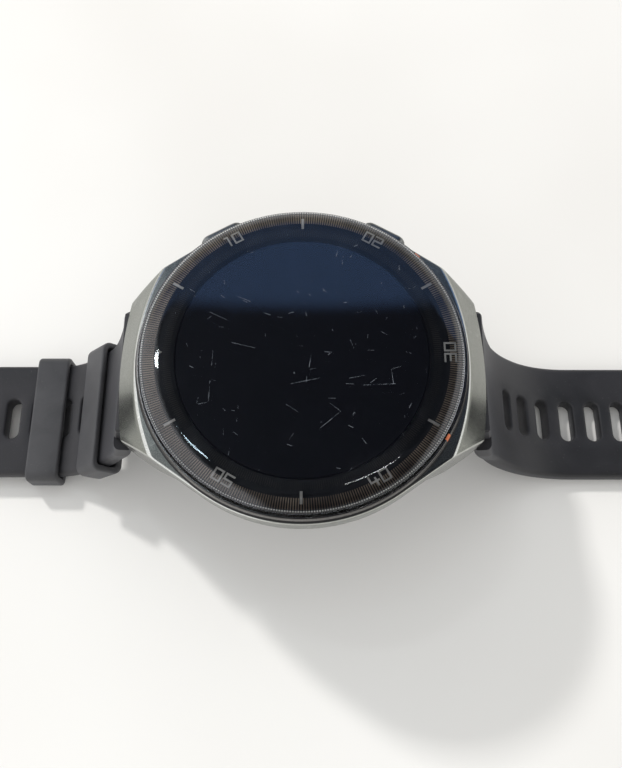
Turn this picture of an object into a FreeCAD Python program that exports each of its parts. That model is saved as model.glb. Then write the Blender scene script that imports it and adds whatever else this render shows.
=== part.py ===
import FreeCAD, Part

import math
import os

from FreeCAD import Placement, Rotation, Vector

# A round sports smartwatch lying face up on its two open strap halves, in millimetres.
# The origin is on the dial axis, in the outer face of the heart-rate window.
# +Z goes up through the display, +X points at 6 o'clock, +Y at 3 o'clock.

# Heights
WINDOW_TOP = 1.3
REAR_FACE = 0.9
REAR_SEAT = 1.4
REAR_INNER = 2.3
TAPER_TOP = 5.6
LEDGE = 6.95
FRAME_TOP = 7.35
BOARD_TOP = 7.95
DECK = 8.5
BEZEL_UNDER = 8.65
BEZEL_LEDGE = 9.66
BEZEL_TOP = 9.75
SCALE_UNDER = 9.86
GLASS_UNDER = 10.0
GLASS_TOP = 11.7

# Radii
CASE_R = 23.4
CASE_REAR_R = 20.8
CAVITY_R = 18.8
COVER_R = 20.2
BEZEL_BORE_R = 21.65
BEZEL_R = 23.3
GLASS_R = 22.4
GLASS_FLAT_R = 19.9
DISPLAY_R = 17.6
SEAT_GAP = 0.05

# Lugs: the flanks leave the round case as tangents at FLANK_ANGLE from +X
FLANK_ANGLE = 55.2
LUG_CORNER_X = 25.45
LUG_END_X = 26.4
LUG_TIP_Z = 4.2
LUG_UNDER = 1.15
DECK_SIDE_R = 34.5
LUG_END_R = 64.0
RECESS_X = 21.4
RECESS_TOP = 4.1
RECESS_HALF = 9.6

# Spring bars
PIVOT_X = 23.9
PIVOT_Z = 2.4
SLEEVE_R = 1.5
SLEEVE_HALF = 9.3
BAR_R = 0.9
BAR_HALF = 9.15
BAR_BORE_R = 0.55
TIP_R = 0.4
TIP_END = 10.6
TIP_HOLE_R = 0.45
TIP_HOLE_END = 11.1
PLUG_END = 0.5
SPRING_END = 4.0
KNOB_Y = 6.6
KNOB_REACH = 1.9

# Strap halves: the outer face starts at the lug tip, and strap_route gives its runs and bends
STRAP_START = (26.6, 3.9)
STRAP_HEADING = -77.0
STRAP_T = 2.7
STRAP_LEVEL = -20.05
KEEPER_WALL = 1.2
KEEPER_GAP = 0.1
ROOT_Z = 0.7
ROOT_HALF = 11.0
BAND_HALF = 9.8
TAPER_START_Z = -3.0
TAPER_END_Z = -9.5
LONG_LENGTH = 120.0
SHORT_LENGTH = 80.0
SLOT_LENGTH = 6.9
SLOT_WIDTH = 2.3
SLOT_PITCH = 4.5
FIRST_SLOT_LONG = 19.3
FIRST_SLOT_SHORT = 18.7
LAST_SLOT_MARGIN = 8.0
TIP_RUN = 7.0

# Keepers
KEEPER_LENGTH = 5.4
KEEPER_OPENING_H = 3.25
KEEPER_TOP_WALL = 1.0
KEEPER_SIDE_WALL = 1.05
KEEPER_HALF = 10.0
OUTER_KEEPER_X = 43.6
INNER_KEEPER_SLOPE = -46.5

# Buckle
BUCKLE_BAR_R = 0.75
BUCKLE_REACH = 11.0
BUCKLE_OPEN = 8.4
BUCKLE_HALF = 12.1
ARM_INNER = 10.3
EYE_R = 1.9
TONGUE_HALF = 3.0
TONGUE_NOTCH_HALF = 3.4
TONGUE_T = 1.2

# Buttons
BUTTON_ANGLES = {"upper": 120.0, "lower": 60.0}
BUTTON_Z = 5.7
BUTTON_FACE = 25.2
BUTTON_INNER = 23.0
BUTTON_LENGTH = 6.8
BUTTON_HEIGHT = 2.6
POCKET_FLOOR = 22.2
POCKET_GAP = 0.15
STEM_R = 0.7
STEM_BORE_R = 0.76
STEM_END = 17.95
SPRING_SEAT = 21.0
SPRING_BORE_R = 1.2
SEAL_AT = 19.9
CLIP_AT = 18.3
CLIP_T = 0.3

# Rear screws
SCREW_ANGLES = (30.0, 150.0, 210.0, 330.0)
SCREW_CIRCLE_R = 17.4
BOSS_R = 1.7
SCREW_R = 0.6
SCREW_HEAD_R = 1.15
SCREW_END = 5.2

# Bezel marks: angle from +X
MARK_ANGLES = (43.2, -31.8)
MARK_WIDTH = 1.3

X_AXIS = Vector(1, 0, 0)
Y_AXIS = Vector(0, 1, 0)
Z_AXIS = Vector(0, 0, 1)


# ---- shapes ----

def disc(radius, low, high, x=0.0, y=0.0):
    return Part.makeCylinder(radius, high - low, Vector(x, y, low), Z_AXIS)


def ring(inner, outer, low, high):
    return disc(outer, low, high).cut(disc(inner, low - 1, high + 1))


def block(x0, x1, y0, y1, z0, z1):
    return Part.makeBox(x1 - x0, y1 - y0, z1 - z0, Vector(x0, y0, z0))


def turned(profile):
    """A solid of revolution about the dial axis from (radius, height) points."""
    points = [Vector(r, 0, z) for r, z in profile]
    wire = Part.makePolygon(points + [points[0]])
    return Part.Face(wire).revolve(Vector(), Z_AXIS, 360)


def side_plate(profile, half_width, centre=0.0):
    """A plate across Y from (x, z) points."""
    points = [Vector(x, centre - half_width, z) for x, z in profile]
    wire = Part.makePolygon(points + [points[0]])
    return Part.Face(wire).extrude(Vector(0, 2 * half_width, 0))


def rod(radius, x, z, y0, y1):
    return Part.makeCylinder(radius, y1 - y0, Vector(x, y0, z), Y_AXIS)


def spoke(radius, start, end, height):
    """A rod along +X at the given height, from radius start to radius end."""
    return Part.makeCylinder(radius, end - start, Vector(start, 0, height), X_AXIS)


def pill(length, width, depth):
    """A slot-shaped bar along Y, centred on the origin, rising by depth in Z."""
    half = (length - width) / 2
    middle = block(-width / 2, width / 2, -half, half, 0, depth)
    ends = [disc(width / 2, 0, depth, 0, y) for y in (-half, half)]
    return middle.multiFuse(ends).removeSplitter()


def coil(radius, wire_radius, length, turns):
    """An open-ended compression spring rising from the origin along Z, in quarter-turn arcs."""
    def on_helix(turn):
        angle = 2 * math.pi * turn
        return Vector(radius * math.cos(angle), radius * math.sin(angle), length * turn / turns)

    quarters = [k / 4 for k in range(4 * turns)]
    arcs = [Part.Arc(on_helix(q), on_helix(q + 0.125), on_helix(q + 0.25)).toShape() for q in quarters]
    section = Part.Wire(Part.makeCircle(wire_radius, Vector(radius, 0, 0), Y_AXIS))
    return Part.Wire(arcs).makePipeShell([section], True, False)


def around_dial(shape, angle):
    moved = shape.copy()
    moved.rotate(Vector(), Z_AXIS, angle)
    return moved


def mirrored(shape):
    """The same piece on the 12 o'clock side."""
    return shape.mirror(Vector(), X_AXIS)


def save(name, *solids):
    shape = solids[0] if len(solids) == 1 else Part.makeCompound(list(solids))
    shape.exportStep(f"parts/{name}.step")
    print(name, round(shape.Volume, 2), "valid" if shape.isValid() else "INVALID")


# ---- case ----

def flank_points():
    """Where a flank leaves the round case, and its corner at the lug end."""
    angle = math.radians(FLANK_ANGLE)
    start = Vector(CASE_R * math.cos(angle), CASE_R * math.sin(angle), 0)
    run = (LUG_CORNER_X - start.x) / math.sin(angle)
    return start, start + Vector(math.sin(angle), -math.cos(angle), 0) * run


def plan_face(height):
    start, corner = flank_points()
    quadrants = ((1, 1), (1, -1), (-1, -1), (-1, 1))
    corners = [Vector(sx * corner.x, sy * corner.y, height) for sx, sy in quadrants]
    starts = [Vector(sx * start.x, sy * start.y, height) for sx, sy in quadrants]
    edges = [
        Part.Arc(corners[0], Vector(LUG_END_X, 0, height), corners[1]).toShape(),
        Part.makeLine(corners[1], starts[1]),
        Part.Arc(starts[1], Vector(0, -CASE_R, height), starts[2]).toShape(),
        Part.makeLine(starts[2], corners[2]),
        Part.Arc(corners[2], Vector(-LUG_END_X, 0, height), corners[3]).toShape(),
        Part.makeLine(corners[3], starts[3]),
        Part.Arc(starts[3], Vector(0, CASE_R, height), starts[0]).toShape(),
        Part.makeLine(starts[0], corners[0]),
    ]
    return Part.Face(Part.Wire(edges))


def barrel_wire(end_x, end_radius, height):
    """A long rectangle across Y whose two X ends are arcs of end_radius through end_x."""
    half = CASE_R + 1
    side_x = end_x - end_radius + math.sqrt(end_radius ** 2 - half ** 2)
    right = Part.Arc(Vector(side_x, -half, height), Vector(end_x, 0, height), Vector(side_x, half, height))
    left = Part.Arc(Vector(-side_x, half, height), Vector(-end_x, 0, height), Vector(-side_x, -half, height))
    far = Part.makeLine(Vector(side_x, half, height), Vector(-side_x, half, height))
    near = Part.makeLine(Vector(-side_x, -half, height), Vector(side_x, -half, height))
    return Part.Wire([right.toShape(), far, left.toShape(), near])


def case_blank():
    blank = plan_face(LUG_UNDER).extrude(Vector(0, 0, DECK - LUG_UNDER))
    deck_wire = barrel_wire(CASE_R, DECK_SIDE_R, DECK)
    tip_wire = barrel_wire(LUG_END_X, LUG_END_R, LUG_TIP_Z)
    facets = Part.makeLoft([tip_wire, deck_wire], True, True)
    tips = Part.Face(tip_wire).extrude(Vector(0, 0, -LUG_TIP_Z))
    envelope = facets.fuse(tips)
    lug = side_plate([(16, TAPER_TOP), (27, TAPER_TOP), (26.4, 2.9), (25.2, LUG_UNDER), (19.5, LUG_UNDER),
                      (16, REAR_SEAT)], CASE_R)
    core = Part.makeCone(CASE_REAR_R, CASE_R, TAPER_TOP - REAR_SEAT, Vector(0, 0, REAR_SEAT), Z_AXIS)
    upper = block(-30, 30, -30, 30, TAPER_TOP, DECK)
    mass = upper.multiFuse([core, lug, mirrored(lug)])
    return blank.common(envelope).common(mass).removeSplitter()


def button_pocket():
    """The pocket, spring bore, stem bore and seal groove of one button, along +X."""
    pocket = pill(BUTTON_LENGTH + 2 * POCKET_GAP, BUTTON_HEIGHT + 2 * POCKET_GAP, BUTTON_FACE - POCKET_FLOOR)
    pocket.Placement = Placement(Vector(POCKET_FLOOR, 0, BUTTON_Z), Rotation(Y_AXIS, 90))
    spring_bore = spoke(SPRING_BORE_R, SPRING_SEAT, BUTTON_FACE, BUTTON_Z)
    stem_bore = spoke(STEM_BORE_R, CAVITY_R - 1, BUTTON_FACE, BUTTON_Z)
    groove = spoke(SPRING_BORE_R, SEAL_AT - 0.3, SEAL_AT + 0.3, BUTTON_Z)
    return pocket.multiFuse([spring_bore, stem_bore, groove])


def lug_recess():
    recess = block(RECESS_X, LUG_END_X + 1, -RECESS_HALF, RECESS_HALF, 0, RECESS_TOP)
    return recess.fuse(rod(TIP_HOLE_R, PIVOT_X, PIVOT_Z, -TIP_HOLE_END, TIP_HOLE_END))


def screw_places():
    for angle in SCREW_ANGLES:
        a = math.radians(angle)
        yield SCREW_CIRCLE_R * math.cos(a), SCREW_CIRCLE_R * math.sin(a)


def make_case():
    case = case_blank()
    case = case.cut(disc(CAVITY_R, 0, LEDGE))
    case = case.cut(disc(BEZEL_BORE_R, LEDGE, DECK + 1))
    case = case.cut(disc(COVER_R + SEAT_GAP, 0, REAR_SEAT))
    bosses = [disc(BOSS_R, REAR_INNER + SEAT_GAP, LEDGE, x, y) for x, y in screw_places()]
    inside = disc(CAVITY_R + 0.2, 0, LEDGE)
    case = case.multiFuse([boss.common(inside) for boss in bosses])
    holes = [disc(SCREW_R, 0, SCREW_END + 0.3, x, y) for x, y in screw_places()]
    groove = ring(CAVITY_R + 0.3, CAVITY_R + 1.1, REAR_SEAT - 1, REAR_SEAT + 0.5)
    cuts = holes + [groove, lug_recess(), mirrored(lug_recess())]
    cuts += [around_dial(button_pocket(), angle) for angle in BUTTON_ANGLES.values()]
    for tool in cuts:
        case = case.cut(tool)
    edge_chamfer = 0.22
    rim = [e for e in case.Edges if min(v.Z for v in e.Vertexes) > DECK - 0.01 and outer_edge(e)]
    return case.makeChamfer(edge_chamfer, rim)


def outer_edge(edge):
    """True for the outer outline of the deck, false for the bezel bore."""
    middle = edge.valueAt((edge.FirstParameter + edge.LastParameter) / 2)
    return math.hypot(middle.x, middle.y) > BEZEL_BORE_R + 0.5


def make_bezel():
    profile = [(20.8, LEDGE + SEAT_GAP), (21.6, LEDGE + SEAT_GAP), (21.6, BEZEL_UNDER), (23.05, BEZEL_UNDER),
               (BEZEL_R, 8.85), (BEZEL_R, 9.15), (22.8, BEZEL_TOP), (22.6, BEZEL_TOP), (22.6, BEZEL_LEDGE),
               (20.8, BEZEL_LEDGE)]
    bezel = turned(profile)
    marks = []
    for angle in MARK_ANGLES:
        seat = block(22.7, 24, -MARK_WIDTH / 2, MARK_WIDTH / 2, 9.0, 10)
        seat = around_dial(seat, angle)
        marks.append(bezel.common(seat))
        bezel = bezel.cut(seat)
    save("bezel_ring", bezel)
    save("bezel_marks", *marks)
    save("bezel_seal", ring(21.7, 23.05, DECK, BEZEL_UNDER))
    save("glass_gasket", ring(20.9, 22.1, BEZEL_LEDGE, SCALE_UNDER))


def make_glass_stack():
    edge_start = Vector(GLASS_FLAT_R, 0, GLASS_TOP)
    edge_middle = Vector(21.55, 0, 11.32)
    edge_end = Vector(GLASS_R, 0, 10.55)
    low = Vector(GLASS_R, 0, 10.1)
    low_in = Vector(GLASS_R - 0.1, 0, GLASS_UNDER)
    centre_low = Vector(0, 0, GLASS_UNDER)
    centre_top = Vector(0, 0, GLASS_TOP)
    edges = [
        Part.makeLine(centre_top, edge_start),
        Part.Arc(edge_start, edge_middle, edge_end).toShape(),
        Part.makeLine(edge_end, low),
        Part.makeLine(low, low_in),
        Part.makeLine(low_in, centre_low),
        Part.makeLine(centre_low, centre_top),
    ]
    glass = Part.Face(Part.Wire(edges)).revolve(Vector(), Z_AXIS, 360)
    save("cover_glass", glass)
    save("scale_ring", ring(DISPLAY_R + 0.15, 22.2, SCALE_UNDER, GLASS_UNDER))
    save("display_panel", disc(DISPLAY_R, 9.1, GLASS_UNDER))
    flex_y = -16.4
    flex = block(-5, 5, flex_y, flex_y + 0.15, BOARD_TOP + 0.6, 9.1)
    connector = block(-5.5, 5.5, flex_y - 0.4, flex_y + 1.2, BOARD_TOP, BOARD_TOP + 0.6)
    save("display_flex", flex.fuse(connector))


# ---- electronics ----

def make_electronics():
    frame = disc(20.6, LEDGE, FRAME_TOP)
    button_slot = block(-2, 2, 14.9, 16, LEDGE - 1, FRAME_TOP + 1)
    battery_slot = block(-15.3, -13.7, -2.6, 2.6, LEDGE - 1, FRAME_TOP + 1)
    sensor_slot = block(-4, 4, -16.6, -14.6, LEDGE - 1, FRAME_TOP + 1)
    for slot in (button_slot, battery_slot, sensor_slot):
        frame = frame.cut(slot)
    save("inner_frame", frame)

    board = disc(17.6, FRAME_TOP, BOARD_TOP).cut(block(13.5, 18, -7, 7, FRAME_TOP - 1, BOARD_TOP + 1))
    save("main_board", board)
    cans = [block(-11, -1, -8, 3, BOARD_TOP, 8.85), block(1, 9, -5, 6, BOARD_TOP, 8.85)]
    save("shield_cans", *cans)
    chip_places = [(-9, 7, 3, 3), (-3.5, 7.5, 4, 2.5), (3.5, 9.5, 3, 3), (9.5, 9, 2, 2), (4.5, -9.5, 4, 3),
                   (-3.5, -11.5, 3, 2), (10.5, -8.5, 2.5, 2.5), (-10.5, -10.5, 2, 2)]
    chips = [block(x - w / 2, x + w / 2, y - d / 2, y + d / 2, BOARD_TOP, 8.65) for x, y, w, d in chip_places]
    save("board_chips", *chips)
    antenna = ring(19.0, 20.3, FRAME_TOP, 8.3).cut(block(0, 25, -3, 3, 7, 9))
    save("antenna_ring", antenna)

    battery = block(-12, 12, -13, 7.5, 3.0, LEDGE - 0.05)
    long_edges = [e for e in battery.Edges if abs(e.tangentAt(0).z) > 0.9]
    save("battery", battery.makeFillet(1.5, long_edges))
    tab = block(-14.7, -12, -2, 2, 6.45, 6.6)
    riser = block(-14.7, -14.55, -2, 2, 6.6, FRAME_TOP)
    save("battery_lead", tab.fuse(riser))
    motor = block(12.7, 17.5, -4.8, 4.8, 3.6, LEDGE - 0.05)
    upright = [e for e in motor.Edges if abs(e.tangentAt(0).z) > 0.9]
    save("vibration_motor", motor.makeFillet(0.8, upright))


def make_rear():
    spigot_r = CAVITY_R - 0.1
    cover = turned([(0, REAR_FACE), (COVER_R - 0.4, REAR_FACE), (COVER_R, REAR_FACE + 0.3),
                    (COVER_R, REAR_SEAT), (spigot_r, REAR_SEAT), (spigot_r, REAR_INNER), (0, REAR_INNER)])
    contact_places = [(-2.6, -15.0), (2.6, -15.0)]
    vent_place = (0.0, 14.8)
    cuts = [disc(11.05, 0, 1.35), disc(10.0, 1, 3)]
    cuts += [disc(1.25, 0, 1.55, x, y) for x, y in screw_places()]
    cuts += [disc(0.7, 0, 3, x, y) for x, y in screw_places()]
    cuts += [disc(1.35, 0, 1.25, x, y) for x, y in contact_places]
    cuts += [disc(0.6, 0, 3, x, y) for x, y in contact_places]
    cuts += [disc(0.5, 0, 3, *vent_place)]
    for tool in cuts:
        cover = cover.cut(tool)
    save("rear_cover", cover)
    save("vent_membrane", disc(1.6, REAR_INNER, REAR_INNER + 0.15, *vent_place))
    save("rear_seal", ring(CAVITY_R + 0.35, CAVITY_R + 1.05, REAR_SEAT, REAR_SEAT + 0.45))

    screws = []
    for x, y in screw_places():
        head = disc(SCREW_HEAD_R, REAR_FACE + 0.05, 1.5, x, y)
        socket = disc(0.45, REAR_FACE, 1.3, x, y)
        shank = disc(SCREW_R - 0.01, 1.5, SCREW_END, x, y)
        screws.append(head.fuse(shank).cut(socket))
    save("rear_screws", *screws)

    contacts = []
    for x, y in contact_places:
        pad = disc(1.3, REAR_FACE - 0.05, 1.25, x, y)
        contacts.append(pad.fuse(disc(0.55, 1.25, 2.8, x, y)))
    save("charging_contacts", *contacts)

    window = turned([(0, 0), (9.4, 0), (10.5, 0.4), (11.0, 0.95), (11.0, WINDOW_TOP), (0, WINDOW_TOP)])
    save("sensor_window", window)
    baffle = disc(9.9, 1.35, REAR_INNER).cut(disc(2.6, 1, 3))
    diodes = []
    for k in range(6):
        hole = block(5.6, 7.9, -1.4, 1.4, 1, 3)
        baffle = baffle.cut(around_dial(hole, 60 * k))
        diodes.append(around_dial(block(5.8, 7.7, -1.2, 1.2, 1.8, REAR_INNER), 60 * k))
    save("light_baffle", baffle)
    save("photodiodes", *diodes)
    leds = [around_dial(block(0.4, 1.6, -0.6, 0.6, 1.8, REAR_INNER), 90 * k) for k in range(4)]
    save("sensor_leds", *leds)
    save("sensor_board", disc(12.5, REAR_INNER, 2.65))


# ---- buttons ----

def make_button(name, angle):
    cap = pill(BUTTON_LENGTH, BUTTON_HEIGHT, BUTTON_FACE - BUTTON_INNER)
    rim = [e for e in cap.Edges if min(v.Z for v in e.Vertexes) > BUTTON_FACE - BUTTON_INNER - 0.01]
    cap = cap.makeChamfer(0.35, rim)
    cap.Placement = Placement(Vector(BUTTON_INNER, 0, BUTTON_Z), Rotation(Y_AXIS, 90))
    stem = spoke(STEM_R, STEM_END, BUTTON_INNER + 0.5, BUTTON_Z)
    neck = spoke(STEM_R + 1, CLIP_AT - 0.03, CLIP_AT + CLIP_T + 0.03, BUTTON_Z)
    core = spoke(0.5, CLIP_AT - 1, CLIP_AT + 1, BUTTON_Z)
    neck = neck.cut(core)
    save(f"button_{name}", around_dial(cap.fuse(stem).cut(neck), angle))

    clip = spoke(1.25, CLIP_AT, CLIP_AT + CLIP_T, BUTTON_Z).cut(core)
    mouth = block(CLIP_AT - 1, CLIP_AT + 1, -0.4, 0.4, BUTTON_Z - 2, BUTTON_Z)
    save(f"button_clip_{name}", around_dial(clip.cut(mouth), angle))

    seal = Part.makeTorus(0.98, 0.19, Vector(SEAL_AT, 0, BUTTON_Z), X_AXIS)
    save(f"button_seal_{name}", around_dial(seal, angle))

    spring = coil(0.95, 0.12, BUTTON_INNER - SPRING_SEAT - 0.3, 4)
    spring.Placement = Placement(Vector(SPRING_SEAT + 0.15, 0, BUTTON_Z), Rotation(Y_AXIS, 90))
    save(f"button_spring_{name}", around_dial(spring, angle))

    housing = block(15.7, 17.2, -1.6, 1.6, BUTTON_Z - 0.8, BUTTON_Z + 0.8)
    dome = spoke(0.5, 17.2, 17.4, BUTTON_Z)
    save(f"button_switch_{name}", around_dial(housing.fuse(dome), angle))


def make_button_flex():
    band = ring(15.3, 15.5, 4.7, 6.7).common(block(-9.5, 9.5, 10, 20, 0, 10))
    tail = block(-1.5, 1.5, 15.25, 15.45, 6.4, FRAME_TOP)
    save("button_flex", band.fuse(tail))


# ---- strap ----

def strap_route(side):
    """Straight runs (length,) and left-hand bends (radius, turn) of a strap half's outer face."""
    upper_bends = [(41.0, 10.5), (22.5, 27.5 if side == "long" else 26.5)]
    last_bend = (15.5, 39.0) if side == "long" else (9.5, 40.0)
    middle_run = 0.0 if side == "long" else 2.2
    level = STRAP_LEVEL if side == "long" else STRAP_LEVEL + KEEPER_WALL + KEEPER_GAP
    length = LONG_LENGTH if side == "long" else SHORT_LENGTH

    bent = [(0.0,)] + upper_bends + ([(middle_run,)] if middle_run else []) + [last_bend]
    bend_drop = STRAP_START[1] - walk(bent)[-1][0][1]
    first_run = (STRAP_START[1] - level - bend_drop) / math.sin(math.radians(-STRAP_HEADING))
    bent[0] = (first_run,)
    used = sum(run_length(step) for step in bent)
    return bent + [(length - used,)]


def run_length(step):
    return step[0] if len(step) == 1 else step[0] * math.radians(step[1])


def walk(route, offset=0.0):
    """The (point, heading) pairs along a route; offset moves it towards the wrist."""
    x, z = STRAP_START
    heading = math.radians(STRAP_HEADING)
    x += offset * math.sin(heading)
    z -= offset * math.cos(heading)
    places = [((x, z), heading)]
    for step in route:
        if len(step) == 1:
            x += step[0] * math.cos(heading)
            z += step[0] * math.sin(heading)
        else:
            radius = step[0] + offset
            after = heading + math.radians(step[1])
            x += radius * (math.sin(after) - math.sin(heading))
            z -= radius * (math.cos(after) - math.cos(heading))
            heading = after
        places.append(((x, z), heading))
    return places


def place_at(route, distance):
    """The point and heading at a distance along the outer face."""
    done = []
    for step in route:
        length = run_length(step)
        if distance > length:
            done.append(step)
            distance -= length
            continue
        part = (distance,) if len(step) == 1 else (step[0], math.degrees(distance / step[0]))
        return walk(done + [part])[-1]
    return walk(done)[-1]


def route_edges(route, offset):
    places = walk(route, offset)
    edges = []
    for step, ((x0, z0), h0), ((x1, z1), h1) in zip(route, places, places[1:]):
        start = Vector(x0, 0, z0)
        end = Vector(x1, 0, z1)
        if len(step) == 1:
            edges.append(Part.makeLine(start, end))
            continue
        radius = step[0] + offset
        middle_heading = (h0 + h1) / 2
        middle = start + Vector(radius * (math.sin(middle_heading) - math.sin(h0)), 0,
                                -radius * (math.cos(middle_heading) - math.cos(h0)))
        edges.append(Part.Arc(start, middle, end).toShape())
    return edges


def band_solid(route, half_width):
    outer = route_edges(route, 0.0)
    inner = route_edges(route, STRAP_T)
    near_cap = Part.makeLine(outer[0].firstVertex().Point, inner[0].firstVertex().Point)
    far_cap = Part.makeLine(outer[-1].lastVertex().Point, inner[-1].lastVertex().Point)
    wire = Part.Wire(Part.__sortEdges__(outer + inner + [near_cap, far_cap]))
    face = Part.Face(wire)
    face.translate(Vector(0, -half_width, 0))
    return face.extrude(Vector(0, 2 * half_width, 0))


def taper_prism(end_x):
    """The front outline of a strap half: wide at the root, narrower from the bend on."""
    far = [Vector(20, ROOT_HALF, 10), Vector(20, ROOT_HALF, TAPER_START_Z),
           Vector(20, BAND_HALF, TAPER_END_Z), Vector(20, BAND_HALF, -40)]
    near = [Vector(p.x, -p.y, p.z) for p in reversed(far)]
    return Part.Face(Part.makePolygon(far + near + [far[0]])).extrude(Vector(end_x, 0, 0))


def tip_prism(end_x):
    """The plan outline of the long half, with its rounded tip."""
    low = Vector(20, -ROOT_HALF, -40)
    high = Vector(end_x - TIP_RUN, ROOT_HALF, -40)
    corners = [Vector(high.x, -ROOT_HALF, -40), low, Vector(20, ROOT_HALF, -40), high]
    edges = [Part.makeLine(a, b) for a, b in zip(corners, corners[1:])]
    shoulder_far = Vector(high.x, BAND_HALF, -40)
    shoulder_near = Vector(high.x, -BAND_HALF, -40)
    edges.append(Part.makeLine(high, shoulder_far))
    edges.append(Part.Arc(shoulder_far, Vector(end_x, 0, -40), shoulder_near).toShape())
    edges.append(Part.makeLine(shoulder_near, corners[0]))
    return Part.Face(Part.Wire(edges)).extrude(Vector(0, 0, 60))


def slot_cutter(route, distance):
    (x, z), heading = place_at(route, distance)
    cutter = pill(SLOT_LENGTH, SLOT_WIDTH, 3 * STRAP_T)
    cutter.translate(Vector(0, 0, -2 * STRAP_T))
    cutter.rotate(Vector(), Y_AXIS, -math.degrees(heading))
    cutter.translate(Vector(x, 0, z))
    return cutter


def strap_half(side):
    route = strap_route(side)
    end_x = walk(route)[-1][0][0]
    band = band_solid(route, ROOT_HALF + 1).common(taper_prism(end_x))
    if side == "long":
        band = band.common(tip_prism(end_x))
    shoulder = block(20, 30, -20, 20, ROOT_Z, 10).cut(block(19, 31, -SLEEVE_HALF, SLEEVE_HALF, 0, 11))
    band = band.cut(shoulder)
    sleeve = rod(SLEEVE_R, PIVOT_X, PIVOT_Z, -SLEEVE_HALF, SLEEVE_HALF)
    neck = side_plate([(PIVOT_X, PIVOT_Z + SLEEVE_R), STRAP_START, (27.2, 1.2), (25.0, 0.4),
                       (PIVOT_X, PIVOT_Z - SLEEVE_R)], SLEEVE_HALF)
    strap = band.multiFuse([sleeve, neck])
    strap = strap.cut(rod(BAR_R + SEAT_GAP, PIVOT_X, PIVOT_Z, -SLEEVE_HALF - 1, SLEEVE_HALF + 1))
    strap = strap.cut(block(PIVOT_X - 2, PIVOT_X + 0.65, KNOB_Y - 1.8, KNOB_Y + 0.8, -1, PIVOT_Z))
    first = FIRST_SLOT_LONG if side == "long" else FIRST_SLOT_SHORT
    length = LONG_LENGTH if side == "long" else SHORT_LENGTH
    count = int((length - LAST_SLOT_MARGIN - first) / SLOT_PITCH) + 1
    for k in range(count):
        strap = strap.cut(slot_cutter(route, first + k * SLOT_PITCH))
    return strap


def buckle_place():
    """The buckle bar's axis, still on the +X side."""
    (end_x, level), _ = walk(strap_route("short"))[-1]
    return end_x - 1.9, level - STRAP_T / 2


def make_strap():
    save("strap_long", strap_half("long").removeSplitter())

    bar_x, bar_z = buckle_place()
    short = strap_half("short")
    end_round = rod(STRAP_T / 2, bar_x + 0.55, bar_z, -30, 30).fuse(block(0, bar_x + 0.55, -30, 30, -40, 20))
    short = short.common(end_round)
    short = short.cut(rod(BUCKLE_BAR_R + SEAT_GAP, bar_x, bar_z, -30, 30))
    notch = block(bar_x - 2.6, bar_x + 5, -TONGUE_NOTCH_HALF, TONGUE_NOTCH_HALF, bar_z - 5, bar_z + 5)
    short = short.cut(notch)
    save("strap_short", mirrored(short.removeSplitter()))


def make_spring_bars():
    tube = rod(BAR_R, PIVOT_X, PIVOT_Z, -BAR_HALF, BAR_HALF)
    tube = tube.cut(rod(BAR_BORE_R, PIVOT_X, PIVOT_Z, PLUG_END, BAR_HALF + 1))
    tube = tube.cut(rod(TIP_R, PIVOT_X, PIVOT_Z, -BAR_HALF - 1, -BAR_HALF + 2))
    tube = tube.cut(block(PIVOT_X - 0.5, PIVOT_X + 0.5, KNOB_Y - 1.75, KNOB_Y + 0.5, PIVOT_Z - 2, PIVOT_Z))
    fixed_tip = rod(TIP_R, PIVOT_X, PIVOT_Z, -TIP_END, -BAR_HALF + 2)
    knob = Part.makeCylinder(0.4, KNOB_REACH, Vector(PIVOT_X, KNOB_Y, PIVOT_Z - KNOB_REACH), Z_AXIS)
    plunger = rod(0.5, PIVOT_X, PIVOT_Z, SPRING_END + 1.3, BAR_HALF - 0.3)
    release = rod(TIP_R, PIVOT_X, PIVOT_Z, SPRING_END + 1.3, TIP_END).multiFuse([plunger, knob])
    spring = coil(0.4, 0.09, SPRING_END + 1.3 - PLUG_END - 0.2, 8)
    spring.Placement = Placement(Vector(PIVOT_X, PLUG_END + 0.1, PIVOT_Z), Rotation(X_AXIS, -90))
    pieces = {"bar_tube": tube, "bar_tip": fixed_tip, "release_pin": release, "bar_spring": spring}
    for name, piece in pieces.items():
        save(f"{name}_long", piece)
        save(f"{name}_short", mirrored(piece))


def keeper_loop():
    """A keeper lying along X, its opening's floor at Z = 0."""
    half = KEEPER_LENGTH / 2
    outer_half = KEEPER_HALF + KEEPER_SIDE_WALL
    outer = block(-half, half, -outer_half, outer_half, -KEEPER_WALL, KEEPER_OPENING_H + KEEPER_TOP_WALL)
    inner = block(-half - 1, half + 1, -KEEPER_HALF, KEEPER_HALF, 0, KEEPER_OPENING_H)
    outer = outer.makeFillet(1.4, [e for e in outer.Edges if abs(e.tangentAt(0).x) > 0.9])
    inner = inner.makeFillet(0.3, [e for e in inner.Edges if abs(e.tangentAt(0).x) > 0.9])
    return outer.cut(inner)


def make_keepers():
    route = strap_route("short")
    level = walk(route)[-1][0][1]
    outer_keeper = keeper_loop()
    outer_keeper.translate(Vector(OUTER_KEEPER_X, 0, level - STRAP_T - KEEPER_GAP))
    save("keeper_outer", mirrored(outer_keeper))

    distance = run_length(route[0]) + run_length(route[1])
    distance += route[2][0] * math.radians(INNER_KEEPER_SLOPE - STRAP_HEADING - route[1][1])
    (x, z), heading = place_at(route, distance)
    inner_keeper = keeper_loop()
    inner_keeper.translate(Vector(0, 0, -STRAP_T - KEEPER_GAP))
    inner_keeper.rotate(Vector(), Y_AXIS, -math.degrees(heading))
    inner_keeper.translate(Vector(x, 0, z))
    save("keeper_inner", mirrored(inner_keeper))


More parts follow.
